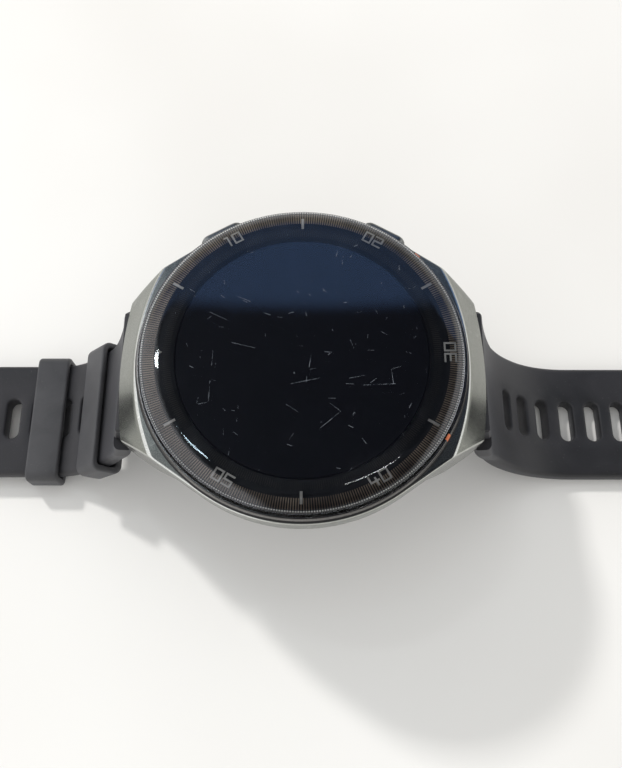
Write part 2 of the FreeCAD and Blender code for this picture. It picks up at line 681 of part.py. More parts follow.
def make_buckle():
    bar_x, bar_z = buckle_place()
    floor = STRAP_LEVEL - STRAP_T
    front_top = bar_z + 0.1
    arm = side_plate([(bar_x - 1.2, bar_z + 1.5), (bar_x + 1.0, bar_z + EYE_R),
                      (bar_x + BUCKLE_REACH - 1.2, front_top + 1.0), (bar_x + BUCKLE_REACH, front_top - 0.3),
                      (bar_x + BUCKLE_REACH - 0.4, floor), (bar_x + BUCKLE_OPEN, floor),
                      (bar_x + 0.5, bar_z - EYE_R), (bar_x - 1.2, bar_z - 1.4)],
                     (BUCKLE_HALF - ARM_INNER) / 2, (BUCKLE_HALF + ARM_INNER) / 2)
    eye = rod(EYE_R, bar_x, bar_z, ARM_INNER, BUCKLE_HALF)
    far_arm = arm.fuse(eye)
    near_arm = far_arm.mirror(Vector(), Y_AXIS)
    front = side_plate([(bar_x + BUCKLE_OPEN, floor + 0.4), (bar_x + BUCKLE_OPEN + 0.4, floor),
                        (bar_x + BUCKLE_REACH - 0.4, floor), (bar_x + BUCKLE_REACH, front_top - 0.3),
                        (bar_x + BUCKLE_REACH - 0.4, front_top), (bar_x + BUCKLE_OPEN, front_top)],
                       BUCKLE_HALF)
    frame = far_arm.multiFuse([near_arm, front]).cut(rod(BUCKLE_BAR_R, bar_x, bar_z, -30, 30))
    save("buckle_frame", mirrored(frame.removeSplitter()))
    bar_half = BUCKLE_HALF - 0.2
    save("buckle_bar", mirrored(rod(BUCKLE_BAR_R - 0.01, bar_x, bar_z, -bar_half, bar_half)))

    tip_x = bar_x + BUCKLE_REACH + 0.6
    rest_z = front_top + 0.05
    blade = side_plate([(bar_x, bar_z + TONGUE_T / 2), (bar_x + 3, rest_z + TONGUE_T),
                        (tip_x - 0.6, rest_z + TONGUE_T), (tip_x, rest_z + 0.45), (tip_x - 0.3, rest_z),
                        (bar_x + 3, rest_z), (bar_x, bar_z - TONGUE_T / 2)], TONGUE_HALF)
    eye = rod(1.3, bar_x, bar_z, -TONGUE_HALF, TONGUE_HALF)
    tongue = blade.fuse(eye).cut(rod(BUCKLE_BAR_R + SEAT_GAP, bar_x, bar_z, -10, 10))
    save("buckle_tongue", mirrored(tongue.removeSplitter()))


os.makedirs("parts", exist_ok=True)
save("case_body", make_case())
make_bezel()
make_glass_stack()
make_electronics()
make_rear()
for button_name, button_angle in BUTTON_ANGLES.items():
    make_button(button_name, button_angle)
make_button_flex()
make_strap()
make_spring_bars()
make_keepers()
make_buckle()
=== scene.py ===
import math
import random

import bmesh
import bpy
from mathutils import Matrix, Vector


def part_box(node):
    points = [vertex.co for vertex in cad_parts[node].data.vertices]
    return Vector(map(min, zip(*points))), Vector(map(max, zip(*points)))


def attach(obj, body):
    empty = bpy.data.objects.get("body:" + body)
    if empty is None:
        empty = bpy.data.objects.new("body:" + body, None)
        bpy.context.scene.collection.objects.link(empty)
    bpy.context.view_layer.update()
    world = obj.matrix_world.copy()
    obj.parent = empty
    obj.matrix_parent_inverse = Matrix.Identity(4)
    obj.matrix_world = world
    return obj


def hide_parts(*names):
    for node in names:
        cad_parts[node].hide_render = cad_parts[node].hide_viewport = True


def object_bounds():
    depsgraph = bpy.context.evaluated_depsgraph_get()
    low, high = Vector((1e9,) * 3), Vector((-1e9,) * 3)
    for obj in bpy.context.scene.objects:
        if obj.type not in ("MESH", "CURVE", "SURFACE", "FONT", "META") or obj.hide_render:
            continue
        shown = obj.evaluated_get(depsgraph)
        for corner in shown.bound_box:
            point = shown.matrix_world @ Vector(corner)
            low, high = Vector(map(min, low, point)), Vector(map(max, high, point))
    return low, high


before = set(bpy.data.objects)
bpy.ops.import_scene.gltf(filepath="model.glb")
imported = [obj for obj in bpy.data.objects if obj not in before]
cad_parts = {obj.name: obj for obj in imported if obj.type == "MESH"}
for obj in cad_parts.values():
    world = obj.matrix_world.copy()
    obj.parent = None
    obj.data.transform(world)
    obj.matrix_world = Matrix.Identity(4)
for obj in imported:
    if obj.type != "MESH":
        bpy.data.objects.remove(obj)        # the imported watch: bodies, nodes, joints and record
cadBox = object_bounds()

# Lengths are in millimetres until a mesh is made, where mm turns them into metres.
# The dial axis is Z, +X points to 6 o'clock and +Y to 3 o'clock.
mm = 0.001
scene = bpy.context.scene


def boxOf(node):
    low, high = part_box(node)
    return low / mm, high / mm


def lerp(a, b, share):
    return a + (b - a) * share


def smoothShare(value, low, high):
    share = min(1.0, max(0.0, (value - low) / (high - low)))
    return share * share * (3 - 2 * share)


class Wire:
    # one output socket; arithmetic on it adds Math nodes
    def __init__(self, finish, socket):
        self.finish = finish
        self.socket = socket

    def maths(self, operation, *others):
        values = dict(enumerate((self, *others)))
        return self.finish.add("ShaderNodeMath", {"operation": operation}, values)

    def __add__(self, other):
        return self.maths("ADD", other)

    def __mul__(self, other):
        return self.maths("MULTIPLY", other)

    def __sub__(self, other):
        return self.maths("SUBTRACT", other)

    def __rsub__(self, other):
        return self.finish.add("ShaderNodeMath", {"operation": "SUBTRACT"}, {0: other, 1: self})

    __radd__ = __add__
    __rmul__ = __mul__

    def between(self, low, high):
        # 0 below low, 1 above high, smooth in between; low may be the larger one
        values = {"Value": self, "From Min": low, "From Max": high}
        return self.finish.add("ShaderNodeMapRange", {"interpolation_type": "SMOOTHSTEP"}, values)


class Finish:
    def __init__(self, name, tree=None):
        if tree is None:
            self.material = bpy.data.materials.new(name)
            self.material.use_nodes = True
            tree = self.material.node_tree
        self.tree = tree
        self.tree.nodes.clear()

    def add(self, kind, settings=None, values=None, out=0):
        node = self.tree.nodes.new(kind)
        for key, value in (settings or {}).items():
            if key == "stops":
                self.setStops(node.color_ramp, value)
            else:
                setattr(node, key, value)
        for key, value in (values or {}).items():
            if isinstance(value, Wire):
                self.tree.links.new(value.socket, node.inputs[key])
            else:
                node.inputs[key].default_value = value
        return Wire(self, node.outputs[out]) if node.outputs else None

    def setStops(self, ramp, stops):
        while len(ramp.elements) < len(stops):
            ramp.elements.new(0.5)
        for element, (place, colour) in zip(ramp.elements, stops):
            element.position = place
            element.color = (*colour, 1)

    def place(self, stretch=(1, 1, 1)):
        # the point on the piece in metres, scaled per axis
        point = self.add("ShaderNodeTexCoord", out=3)
        return self.add("ShaderNodeVectorMath", {"operation": "MULTIPLY"}, {0: point, 1: stretch})

    def noise(self, size, detail=3.0, rough=0.55, stretch=(1, 1, 1), warp=0.0):
        # size is the width of one blotch, in millimetres
        values = {"Vector": self.place(stretch), "Scale": 1 / (size * mm), "Detail": detail,
                  "Roughness": rough, "Distortion": warp}
        return self.add("ShaderNodeTexNoise", None, values)

    def mix(self, share, first, second):
        return self.add("ShaderNodeMix", {"data_type": "RGBA"}, {0: share, 6: first, 7: second}, out=2)

    def bump(self, height, depth, strength=1.0):
        # depth is how deep the relief is, in millimetres
        values = {"Height": height, "Distance": depth * mm, "Strength": strength}
        return self.add("ShaderNodeBump", None, values)

    def principled(self, values):
        return self.add("ShaderNodeBsdfPrincipled", None, values)

    def surface(self, shader):
        self.add("ShaderNodeOutputMaterial", None, {"Surface": shader})
        return self.material


def tone(red, green, blue):
    # a colour from its 0-255 screen values
    def linear(value):
        value /= 255
        return value / 12.92 if value <= 0.04045 else ((value + 0.055) / 1.055) ** 2.4
    return (linear(red), linear(green), linear(blue), 1)


# what all metals and all plastics share: how far each pattern changes the roughness, where it shows
metalVariety = {"cloud": 0.16, "grain": 0.1, "rub": 0.06, "rubSize": 0.35, "rubRange": (0.56, 0.72)}
plasticVariety = {"patch": 0.2, "texture": 0.12, "speckRange": (0.70, 0.78), "dustTone": tone(120, 118, 114),
                  "sheenRough": 0.45, "sheenTone": tone(150, 152, 160)}


def metalFinish(name, look):
    # blasted or brushed metal: grain, cloudy handling marks and a little variation in tint
    f = Finish(name)
    v = metalVariety
    grain = f.noise(look["grain"], 2, 0.6, look.get("stretch", (1, 1, 1)))
    cloud = f.noise(look["cloud"], 4, 0.6)
    rub = f.noise(look["cloud"] * v["rubSize"], 5, 0.7, warp=1.2).between(*v["rubRange"])
    colour = f.mix(grain.between(0.3, 0.72), look["dark"], look["light"])
    colour = f.mix(rub * look["rub"], colour, look["bare"])
    rough = look["rough"] + (cloud - 0.5) * v["cloud"] + (grain - 0.5) * v["grain"] - rub * v["rub"]
    relief = f.bump(grain, look["relief"], look.get("strength", 0.6))
    shader = f.principled({"Base Color": colour, "Roughness": rough, "Metallic": 1.0, "Normal": relief})
    return f.surface(shader)


def plasticFinish(name, look):
    # moulded plastic or rubber: fine texture, dull patches, dust in the finest grain
    f = Finish(name)
    v = plasticVariety
    texture = f.noise(look["grain"], 3, 0.65)
    patch = f.noise(look["cloud"], 4, 0.6, warp=0.8)
    speck = f.noise(look.get("speck", 0.35), 1, 0.5).between(*v["speckRange"])
    colour = f.mix(patch.between(0.3, 0.7), look["dark"], look["light"])
    colour = f.mix(speck * look.get("dust", 0.15), colour, v["dustTone"])
    rough = look["rough"] + (patch - 0.5) * v["patch"] + (texture - 0.5) * v["texture"]
    relief = f.bump(texture, look["relief"], look.get("strength", 0.5))
    values = {"Base Color": colour, "Roughness": rough, "Normal": relief}
    if "sheen" in look:
        values.update({"Sheen Weight": look["sheen"], "Sheen Roughness": v["sheenRough"],
                       "Sheen Tint": v["sheenTone"]})
    return f.surface(f.principled(values))


metalLooks = {
    "caseSteel": {"dark": tone(88, 91, 90), "light": tone(122, 126, 122), "bare": tone(168, 170, 166),
                  "grain": 0.16, "cloud": 6.0, "rub": 0.35, "rough": 0.36, "relief": 0.012, "strength": 0.75},
    "caseWall": {"dark": tone(118, 120, 115), "light": tone(146, 148, 142), "bare": tone(186, 188, 182),
                 "grain": 0.14, "cloud": 7.0, "rub": 0.25, "rough": 0.2, "relief": 0.003, "strength": 0.5},
    # the same steel made lighter for the eased edges: the lighter colour paints their highlight
    "caseEdge": {"dark": tone(160, 162, 158), "light": tone(190, 191, 186), "bare": tone(214, 214, 210),
                 "grain": 0.1, "cloud": 3.0, "rub": 0.4, "rough": 0.2, "relief": 0.004},
    "bezelSteel": {"dark": tone(84, 83, 82), "light": tone(116, 114, 112), "bare": tone(160, 158, 155),
                   "grain": 0.12, "cloud": 4.0, "rub": 0.35, "rough": 0.25, "relief": 0.002, "strength": 0.4},
    "buttonSteel": {"dark": tone(96, 98, 98), "light": tone(124, 126, 124), "bare": tone(168, 168, 166),
                    "grain": 0.12, "cloud": 2.5, "rub": 0.5, "rough": 0.3, "relief": 0.008},
    "buckleSteel": {"dark": tone(92, 94, 96), "light": tone(120, 122, 124), "bare": tone(176, 176, 174),
                    "grain": 0.1, "cloud": 3.0, "rub": 0.55, "rough": 0.32, "relief": 0.008,
                    "stretch": (0.25, 1, 1)},
    "hardwareSteel": {"dark": tone(112, 114, 116), "light": tone(150, 152, 154), "bare": tone(190, 190, 190),
                      "grain": 0.08, "cloud": 1.2, "rub": 0.4, "rough": 0.28, "relief": 0.006},
    "motorSteel": {"dark": tone(130, 132, 134), "light": tone(160, 162, 164), "bare": tone(200, 200, 200),
                   "grain": 0.1, "cloud": 2.0, "rub": 0.3, "rough": 0.34, "relief": 0.006,
                   "stretch": (1, 0.2, 1)},
    "shieldTin": {"dark": tone(150, 152, 152), "light": tone(182, 184, 182), "bare": tone(214, 214, 210),
                  "grain": 0.15, "cloud": 2.5, "rub": 0.4, "rough": 0.38, "relief": 0.01},
    "contactGold": {"dark": tone(176, 138, 66), "light": tone(222, 186, 106), "bare": tone(240, 216, 150),
                    "grain": 0.08, "cloud": 0.9, "rub": 0.5, "rough": 0.24, "relief": 0.005},
}

plasticLooks = {
    "strapRubber": {"dark": tone(27, 27, 29), "light": tone(38, 37, 40), "grain": 0.14, "cloud": 9.0,
                    "rough": 0.56, "relief": 0.02, "strength": 0.55, "dust": 0.22, "speck": 0.22,
                    "sheen": 0.22},
    # the strap's rubber made lighter for the keeper loops: painted sheen, the light their tops catch
    "keeperRubber": {"dark": tone(50, 50, 52), "light": tone(64, 64, 66), "grain": 0.14, "cloud": 8.0,
                     "rough": 0.54, "relief": 0.02, "strength": 0.5, "dust": 0.22, "speck": 0.2,
                     "sheen": 0.22},
    "sealRubber": {"dark": tone(9, 9, 10), "light": tone(18, 18, 19), "grain": 0.1, "cloud": 2.0,
                   "rough": 0.7, "relief": 0.008},
    "gasketTape": {"dark": tone(14, 14, 15), "light": tone(24, 24, 26), "grain": 0.1, "cloud": 2.0,
                   "rough": 0.62, "relief": 0.005},
    "markPaint": {"dark": tone(196, 98, 56), "light": tone(222, 128, 82), "grain": 0.08, "cloud": 0.7,
                  "rough": 0.42, "relief": 0.006, "dust": 0.1},
    "rearPlastic": {"dark": tone(22, 22, 24), "light": tone(31, 31, 33), "grain": 0.1, "cloud": 7.0,
                    "rough": 0.4, "relief": 0.008, "dust": 0.12},
    "chassisPlastic": {"dark": tone(38, 39, 41), "light": tone(52, 53, 55), "grain": 0.14, "cloud": 4.0,
                       "rough": 0.55, "relief": 0.01},
    "flexFilm": {"dark": tone(150, 84, 24), "light": tone(186, 116, 40), "grain": 0.2, "cloud": 3.0,
                 "rough": 0.32, "relief": 0.004},
    "chipResin": {"dark": tone(20, 21, 23), "light": tone(33, 34, 36), "grain": 0.06, "cloud": 1.0,
                  "rough": 0.5, "relief": 0.004},
    "batteryWrap": {"dark": tone(34, 42, 66), "light": tone(46, 56, 84), "grain": 0.3, "cloud": 5.0,
                    "rough": 0.36, "relief": 0.02},
    "membraneWhite": {"dark": tone(196, 196, 190), "light": tone(226, 226, 220), "grain": 0.05, "cloud": 0.6,
                      "rough": 0.75, "relief": 0.006},
    "ledLens": {"dark": tone(60, 120, 70), "light": tone(110, 180, 110), "grain": 0.08, "cloud": 0.5,
                "rough": 0.2, "relief": 0.003},
}


def circuitFinish():
    # solder mask over copper: traces lift the mask and show a little lighter
    f = Finish("circuitBoard")
    lanes = f.add("ShaderNodeTexBrick", {"offset": 0.5},
                  {"Vector": f.place(), "Scale": 1 / (3.2 * mm), "Mortar Size": 0.05, "Brick Width": 0.8,
                   "Row Height": 0.22, "Mortar Smooth": 0.3, "Color1": (0, 0, 0, 1), "Color2": (0, 0, 0, 1),
                   "Mortar": (1, 1, 1, 1)}, out=1)
    cloud = f.noise(3.0)
    colour = f.mix(lanes, f.mix(cloud, tone(12, 44, 30), tone(18, 58, 40)), tone(46, 104, 72))
    relief = f.bump(lanes, 0.03, 0.8)
    shader = f.principled({"Base Color": colour, "Roughness": 0.3 + cloud * 0.14, "Normal": relief})
    return f.surface(shader)


def displayFinish():
    # an unlit panel: almost black, faintly blue, very slightly uneven
    f = Finish("displayPanel")
    cloud = f.noise(11.0, 2, 0.5)
    haze = f.noise(2.6, 2, 0.5)
    colour = f.mix(cloud.between(0.3, 0.7), tone(4, 4, 8), tone(8, 9, 15))
    relief = f.bump(haze, 0.0008, 0.2)
    shader = f.principled({"Base Color": colour, "Roughness": 0.42 + haze * 0.1, "Normal": relief,
                           "Specular IOR Level": 0.15})
    return f.surface(shader)


def scaleBackFinish():
    # the black print behind the dial marks
    f = Finish("scaleBack")
    cloud = f.noise(2.4, 3, 0.6)
    grain = f.noise(0.08, 2, 0.6)
    colour = f.mix(cloud.between(0.3, 0.7), tone(9, 8, 8), tone(16, 14, 13))
    shader = f.principled({"Base Color": colour, "Roughness": 0.5 + grain * 0.2,
                           "Normal": f.bump(grain, 0.003)})
    return f.surface(shader)


def printFinish(name, look):
    # metallic ink: patchy coverage and a warm or cool cast from mark to mark
    f = Finish(name)
    patch = f.noise(look["patch"], 3, 0.6)
    grain = f.noise(0.07, 2, 0.6)
    colour = f.mix(patch.between(0.32, 0.68), look["dark"], look["light"])
    rough = 0.34 + patch * 0.2 + grain * 0.1
    values = {"Base Color": colour, "Roughness": rough, "Metallic": look["metal"],
              "Normal": f.bump(grain, 0.004)}
    return f.surface(f.principled(values))


def glassFinish(name, look):
    # clear where it is looked through, glossy by angle, dulled by smears and fine scratches
    f = Finish(name)
    smear = f.noise(7.0, 5, 0.62, (1, 0.6, 1), 1.5).between(0.5, 0.78)
    hair = f.noise(0.5, 2, 0.5, (1, 9, 1), 0.6).between(0.74, 0.8)
    rough = look["rough"] + smear * look["smear"] + hair * 0.06
    gloss = f.principled({"Base Color": look["gloss"], "Metallic": 1.0, "Roughness": rough})
    clear = f.add("ShaderNodeBsdfTransparent", None, {"Color": look["clear"]})
    turn = f.add("ShaderNodeFresnel", None, {"IOR": look["ior"]})
    share = (turn * look["boost"]) + smear * look["haze"]
    return f.surface(f.add("ShaderNodeMixShader", None, {0: share, 1: clear, 2: gloss}))


def wearFinish():
    # hairline scratches in the glass, which catch the light
    f = Finish("glassScratch")
    broken = f.noise(0.6, 3, 0.7)
    grain = f.noise(0.12, 2, 0.6)
    clear = f.add("ShaderNodeBsdfTransparent", None, {"Color": (1, 1, 1, 1)})
    white = f.principled({"Base Color": f.mix(grain, tone(150, 160, 176), tone(214, 220, 230)),
                          "Roughness": 0.55 + grain * 0.2})
    share = broken.between(0.34, 0.6) * 0.7
    return f.surface(f.add("ShaderNodeMixShader", None, {0: share, 1: clear, 2: white}))


inkLooks = {
    "tickInk": {"dark": tone(88, 74, 62), "light": tone(138, 122, 104), "patch": 5.0, "metal": 0.55},
    "faintInk": {"dark": tone(38, 36, 34), "light": tone(58, 54, 50), "patch": 4.0, "metal": 0.4},
    "numeralInk": {"dark": tone(138, 134, 128), "light": tone(170, 166, 160), "patch": 2.0, "metal": 0.15},
    "dotInk": {"dark": tone(226, 224, 216), "light": tone(252, 250, 244), "patch": 3.0, "metal": 0.0},
}

glassLooks = {
    "coverGlass": {"rough": 0.035, "smear": 0.07, "gloss": (0.96, 0.97, 1, 1), "clear": (0.9, 0.92, 0.94, 1),
                   "ior": 1.5, "boost": 1.15, "haze": 0.012},
    "sensorGlass": {"rough": 0.06, "smear": 0.08, "gloss": (0.95, 0.95, 1, 1), "clear": (0.1, 0.1, 0.12, 1),
                    "ior": 1.52, "boost": 1.3, "haze": 0.02},
}

finishes = {}
for make, looks in ((metalFinish, metalLooks), (plasticFinish, plasticLooks), (printFinish, inkLooks),
                    (glassFinish, glassLooks)):
    for name, look in looks.items():
        finishes[name] = make(name, look)
finishes["circuitBoard"] = circuitFinish()
finishes["displayPanel"] = displayFinish()
finishes["scaleBack"] = scaleBackFinish()
finishes["glassScratch"] = wearFinish()
print("finishes made:", len(finishes))


def polish(mesh, angle):
    # smooth faces, sharp edges where the surface turns by more than angle degrees
    mesh.polygons.foreach_set("use_smooth", [True] * len(mesh.polygons))
    mesh.set_sharp_from_angle(angle=math.radians(angle))


mergeGap = 0.0005        # points closer than this become one
nodeMergeGap = 0.002     # the same for a machined node's mesh


def makePiece(name, points, faces, finish, angle=32, others=(), marks=None):
    # a piece from points in millimetres; marks says which finish each face takes, 0 being the first
    mesh = bpy.data.meshes.new(name)
    mesh.from_pydata([Vector(p) * mm for p in points], [], faces)
    body = bmesh.new()
    body.from_mesh(mesh)
    for face, mark in zip(body.faces, marks or ()):
        face.material_index = mark
    bmesh.ops.remove_doubles(body, verts=body.verts, dist=mergeGap * mm)
    bmesh.ops.recalc_face_normals(body, faces=body.faces)
    body.to_mesh(mesh)
    body.free()
    polish(mesh, angle)
    for each in (finish, *others):
        mesh.materials.append(finishes[each])
    piece = bpy.data.objects.new(name, mesh)
    scene.collection.objects.link(piece)
    return piece


def fit(piece, body, slot, *nodes):
    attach(piece, body)
    if nodes:
        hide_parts(*nodes)
    return piece


def combine(piece, tools, operation="DIFFERENCE", angle=32):
    # cuts the tools out of the piece, or joins them to it, and keeps the result as its mesh
    for tool in tools:
        change = piece.modifiers.new("combine", "BOOLEAN")
        change.operation = operation
        change.solver = "EXACT"
        change.object = tool
    bpy.context.view_layer.update()
    shaped = piece.evaluated_get(bpy.context.evaluated_depsgraph_get())
    mesh = bpy.data.meshes.new_from_object(shaped)
    piece.modifiers.clear()
    piece.data = mesh
    for tool in tools:
        bpy.data.objects.remove(tool)
    polish(mesh, angle)
    return piece


def softCorners(outline, reach, points=2):
    # each corner becomes a short curve that starts reach before it and ends reach after it
    soft = []
    count = len(outline)
    for k, here in enumerate(outline):
        corner = Vector(here)
        before = Vector(outline[k - 1]) - corner
        after = Vector(outline[(k + 1) % count]) - corner
        limit = min(reach, 0.45 * before.length, 0.45 * after.length)
        start = corner + before.normalized() * limit
        end = corner + after.normalized() * limit
        for j in range(points + 1):
            t = j / points
            soft.append(tuple(start * (1 - t) ** 2 + corner * 2 * t * (1 - t) + end * t * t))
    return soft


def bandFaces(bands, rings, size, closed=True):
    # the faces between one ring of points and the next; the last ring meets the first if bands is rings
    faces = []
    for k in range(bands):
        here, after = k * size, (k + 1) % rings * size
        for j in range(size if closed else size - 1):
            n = (j + 1) % size
            faces.append((here + j, here + n, after + n, after + j))
    return faces


def lathe(name, profile, finish, steps=240, sweep=360.0, start=0.0, closed=True, angle=32):
    # turns a profile of (radius, height) about the dial axis; a sweep under 360 gets end caps
    full = sweep >= 360
    turns = steps if full else steps + 1
    points = []
    for k in range(turns):
        a = math.radians(start + sweep * k / steps)
        points += [(r * math.cos(a), r * math.sin(a), z) for r, z in profile]
    size = len(profile)
    faces = bandFaces(steps, turns, size, closed)
    if not full:
        faces.append(tuple(range(size)))
        faces.append(tuple(range((turns - 1) * size, turns * size)))
    return makePiece(name, points, faces, finish, angle)


def prism(name, outline, low, high, finish, edge):
    # an outline in the XZ plane, extruded along Y, its end edges eased by edge
    count = len(outline)
    area = sum(a[0] * b[1] - b[0] * a[1] for a, b in zip(outline, outline[1:] + outline[:1]))
    side = 1 if area > 0 else -1
    inset = []
    for k, here in enumerate(outline):
        p = Vector(here)
        before = (p - Vector(outline[k - 1])).normalized()
        after = (Vector(outline[(k + 1) % count]) - p).normalized()
        normal = Vector((-(before.y + after.y), before.x + after.x)).normalized() * side
        inset.append(p + normal * edge)
    rings = [(low, inset), (low + edge, outline), (high - edge, outline), (high, inset)]
    points = [(p[0], y, p[1]) for y, ring in rings for p in ring]
    faces = [tuple(range(count)), tuple(range((len(rings) - 1) * count, len(rings) * count))]
    faces += bandFaces(len(rings) - 1, len(rings), count)
    return makePiece(name, points, faces, finish)


def bar(name, radius, start, end, finish, steps=32):
    # a plain cylinder between two points, for cutting
    start, end = Vector(start), Vector(end)
    turn = (end - start).to_track_quat("Z", "Y")
    points = []
    for centre in (start, end):
        for k in range(steps):
            a = 2 * math.pi * k / steps
            points.append(centre + turn @ Vector((radius * math.cos(a), radius * math.sin(a), 0)))
    faces = [tuple(range(steps)), tuple(range(steps, 2 * steps))] + bandFaces(1, 2, steps)
    return makePiece(name, points, faces, finish)


def brick(name, low, high, finish):
    # a plain block between two corners, for cutting
    points = [(x, y, z) for x in (low[0], high[0]) for y in (low[1], high[1]) for z in (low[2], high[2])]
    faces = [(0, 1, 3, 2), (4, 6, 7, 5), (0, 4, 5, 1), (2, 3, 7, 6), (0, 2, 6, 4), (1, 5, 7, 3)]
    return makePiece(name, points, faces, finish)


def easedCopy(node, finish, body, slot, edge):
    # a finer stand-in for a machined piece: flat faces joined up and every sharp edge eased
    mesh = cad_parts[node].data.copy()
    mesh.materials.clear()
    mesh.materials.append(finishes[finish])
    shape = bmesh.new()
    shape.from_mesh(mesh)
    bmesh.ops.remove_doubles(shape, verts=shape.verts, dist=nodeMergeGap * mm)
    bmesh.ops.dissolve_limit(shape, angle_limit=math.radians(1), verts=shape.verts, edges=shape.edges)
    bmesh.ops.recalc_face_normals(shape, faces=shape.faces)
    sharp = [e for e in shape.edges if e.is_manifold and e.calc_face_angle(0) > math.radians(30)]
    bmesh.ops.bevel(shape, geom=sharp, offset=edge * mm, segments=2, profile=0.5, affect="EDGES",
                    clamp_overlap=True)
    shape.to_mesh(mesh)
    shape.free()
    polish(mesh, 40)
    piece = bpy.data.objects.new(node + "_eased", mesh)
    scene.collection.objects.link(piece)
    return fit(piece, body, slot, node)


caseLow, caseHigh = boxOf("case_body")
glassLow, glassHigh = boxOf("cover_glass")
bezelLow, bezelHigh = boxOf("bezel_ring")
coverLow, coverHigh = boxOf("rear_cover")
displayLow, displayHigh = boxOf("display_panel")

caseShape = {
    "roundRadius": caseHigh.y,     # the round wall, seen from above
    "rearRadius": 20.8,            # where the round wall ends at the back
    "deck": caseHigh.z,
    "wallEnd": 5.6,                # the round wall tapers below this height
    "flankAngle": 55.2,            # where a flank leaves the round wall
    "lugEnd": caseHigh.x,
    "lugEndRadius": 64.0,
    "deckSideRadius": 34.5,
    "tip": 4.2,                    # the lug facet ends here
    "nose": 2.9,                   # the lug's underside starts to turn in here
    "noseTurn": 0.686,             # and goes in by this much for each millimetre down
    "hollow": (8.0, 21.5),         # between these places on X the round part gives way to the lug
    "underside": caseLow.z,
    "rearSeat": 1.4,
    "seatRadius": coverHigh.x + 0.05,
    "boreRadius": 21.65,
    "ledge": 6.95,
    "cavityRadius": 18.8,
    "edge": 0.26,
    "edgeCurve": ((0.0, 1.0), (0.12, 0.5), (0.42, 0.16), (1.0, 0.0)),   # shares of edge: down, in
    "cornerEdge": 0.26,
    "cornerPull": 0.45,            # how close the eased lug corner comes to the sharp one
    "longestFlank": 18.0,
    "wallRows": (7.7, 7.0, 6.3),
    "wallGap": (0.12, 0.1),        # the rows just above and below the end of the wall
    "rimGap": 0.1,                 # the bore's eased rim
    "seatGap": 0.01,
    "columns": (14, 16, 18),       # over half a lug, a flank and a quarter of the round wall
    "bands": (3, 15, 16),          # bands with the deck's edge and with lug corners, which take the painted edge highlight, then with the outer wall
}


def facetX(y, z):
    # how far out the lug facet lies at a height
    c = caseShape
    share = min(1.0, max(0.0, (z - c["tip"]) / (c["deck"] - c["tip"])))
    tip = c["lugEnd"] - c["lugEndRadius"] + math.sqrt(c["lugEndRadius"] ** 2 - y * y)
    top = c["roundRadius"] - c["deckSideRadius"] + math.sqrt(c["deckSideRadius"] ** 2 - y * y)
    turnedIn = max(0.0, c["nose"] - z) * c["noseTurn"]
    return lerp(tip, top, share) - turnedIn


def flankPoint(run):
    a = math.radians(caseShape["flankAngle"])
    r = caseShape["roundRadius"]
    return Vector((r * math.cos(a) + run * math.sin(a), r * math.sin(a) - run * math.cos(a)))


def flankRun(z):
    # how far along the flank its corner with the lug facet lies
    low, high = 0.0, caseShape["longestFlank"]
    halvings = 30
    for _ in range(halvings):
        middle = (low + high) / 2
        p = flankPoint(middle)
        if p.x < facetX(p.y, z):
            low = middle
        else:
            high = middle
    return low


def quarterOutline(z):
    # from the lug's middle to the middle of the round wall, in one quarter
    lugSteps, flankSteps, roundSteps = caseShape["columns"]
    ease = caseShape["cornerEdge"]
    run = flankRun(z)
    corner = flankPoint(run)
    points = [Vector((facetX(y, z), y)) for y in
              [(corner.y - ease) * k / lugSteps for k in range(lugSteps + 1)]]
    between = lerp(points[-1], flankPoint(run - ease), 0.5)
    points.append(lerp(between, corner, caseShape["cornerPull"]))
    points += [flankPoint((run - ease) * (1 - k / flankSteps)) for k in range(flankSteps)]
    start = math.radians(caseShape["flankAngle"])
    for k in range(roundSteps + 1):
        a = lerp(start, math.pi / 2, k / roundSteps)
        points.append(caseShape["roundRadius"] * Vector((math.cos(a), math.sin(a))))
    return points


def wholeOutline(z):
    quarter = quarterOutline(z)
    second = [Vector((-p.x, p.y)) for p in reversed(quarter)][1:]
    half = quarter + second
    return half + [Vector((p.x, -p.y)) for p in reversed(half)][1:-1]


def caseRow(z, inset=0.0):
    return [(p.x * (1 - inset / p.length), p.y * (1 - inset / p.length), z) for p in wholeOutline(z)]


def taperRow(z):
    # below the wall: the round part tapers in, the lugs stay, with a smooth hollow between the two
    c = caseShape
    coneZ = max(z, c["rearSeat"])
    share = (c["wallEnd"] - coneZ) / (c["wallEnd"] - c["rearSeat"])
    cone = lerp(c["roundRadius"], c["rearRadius"], share)
    row = []
    for p in wholeOutline(z):
        lug = smoothShare(abs(p.x), *c["hollow"])
        onCone = p.normalized() * cone
        row.append((lerp(onCone.x, p.x, lug), lerp(onCone.y, p.y, lug), lerp(coneZ, z, lug)))
    return row


def circleRow(row, radius, z=None):
    # the same columns as another row, on a circle
    made = []
    for x, y, height in row:
        p = Vector((x, y)).normalized() * radius
        made.append((p.x, p.y, height if z is None else z))
    return made


buttonPocket = {
    "angles": (120, 60),           # where the upper and the lower button point
    "reach": (22.2, 27.0), "half": 2.1, "endRadius": 1.45, "stemReach": (17.0, 23.0), "stemRadius": 0.76,
}

lugRecess = {
    "inner": 21.4, "outer": 30.0, "half": 9.6, "low": -1.0, "high": 4.1, "tipRadius": 0.45, "tipHalf": 11.1,
}


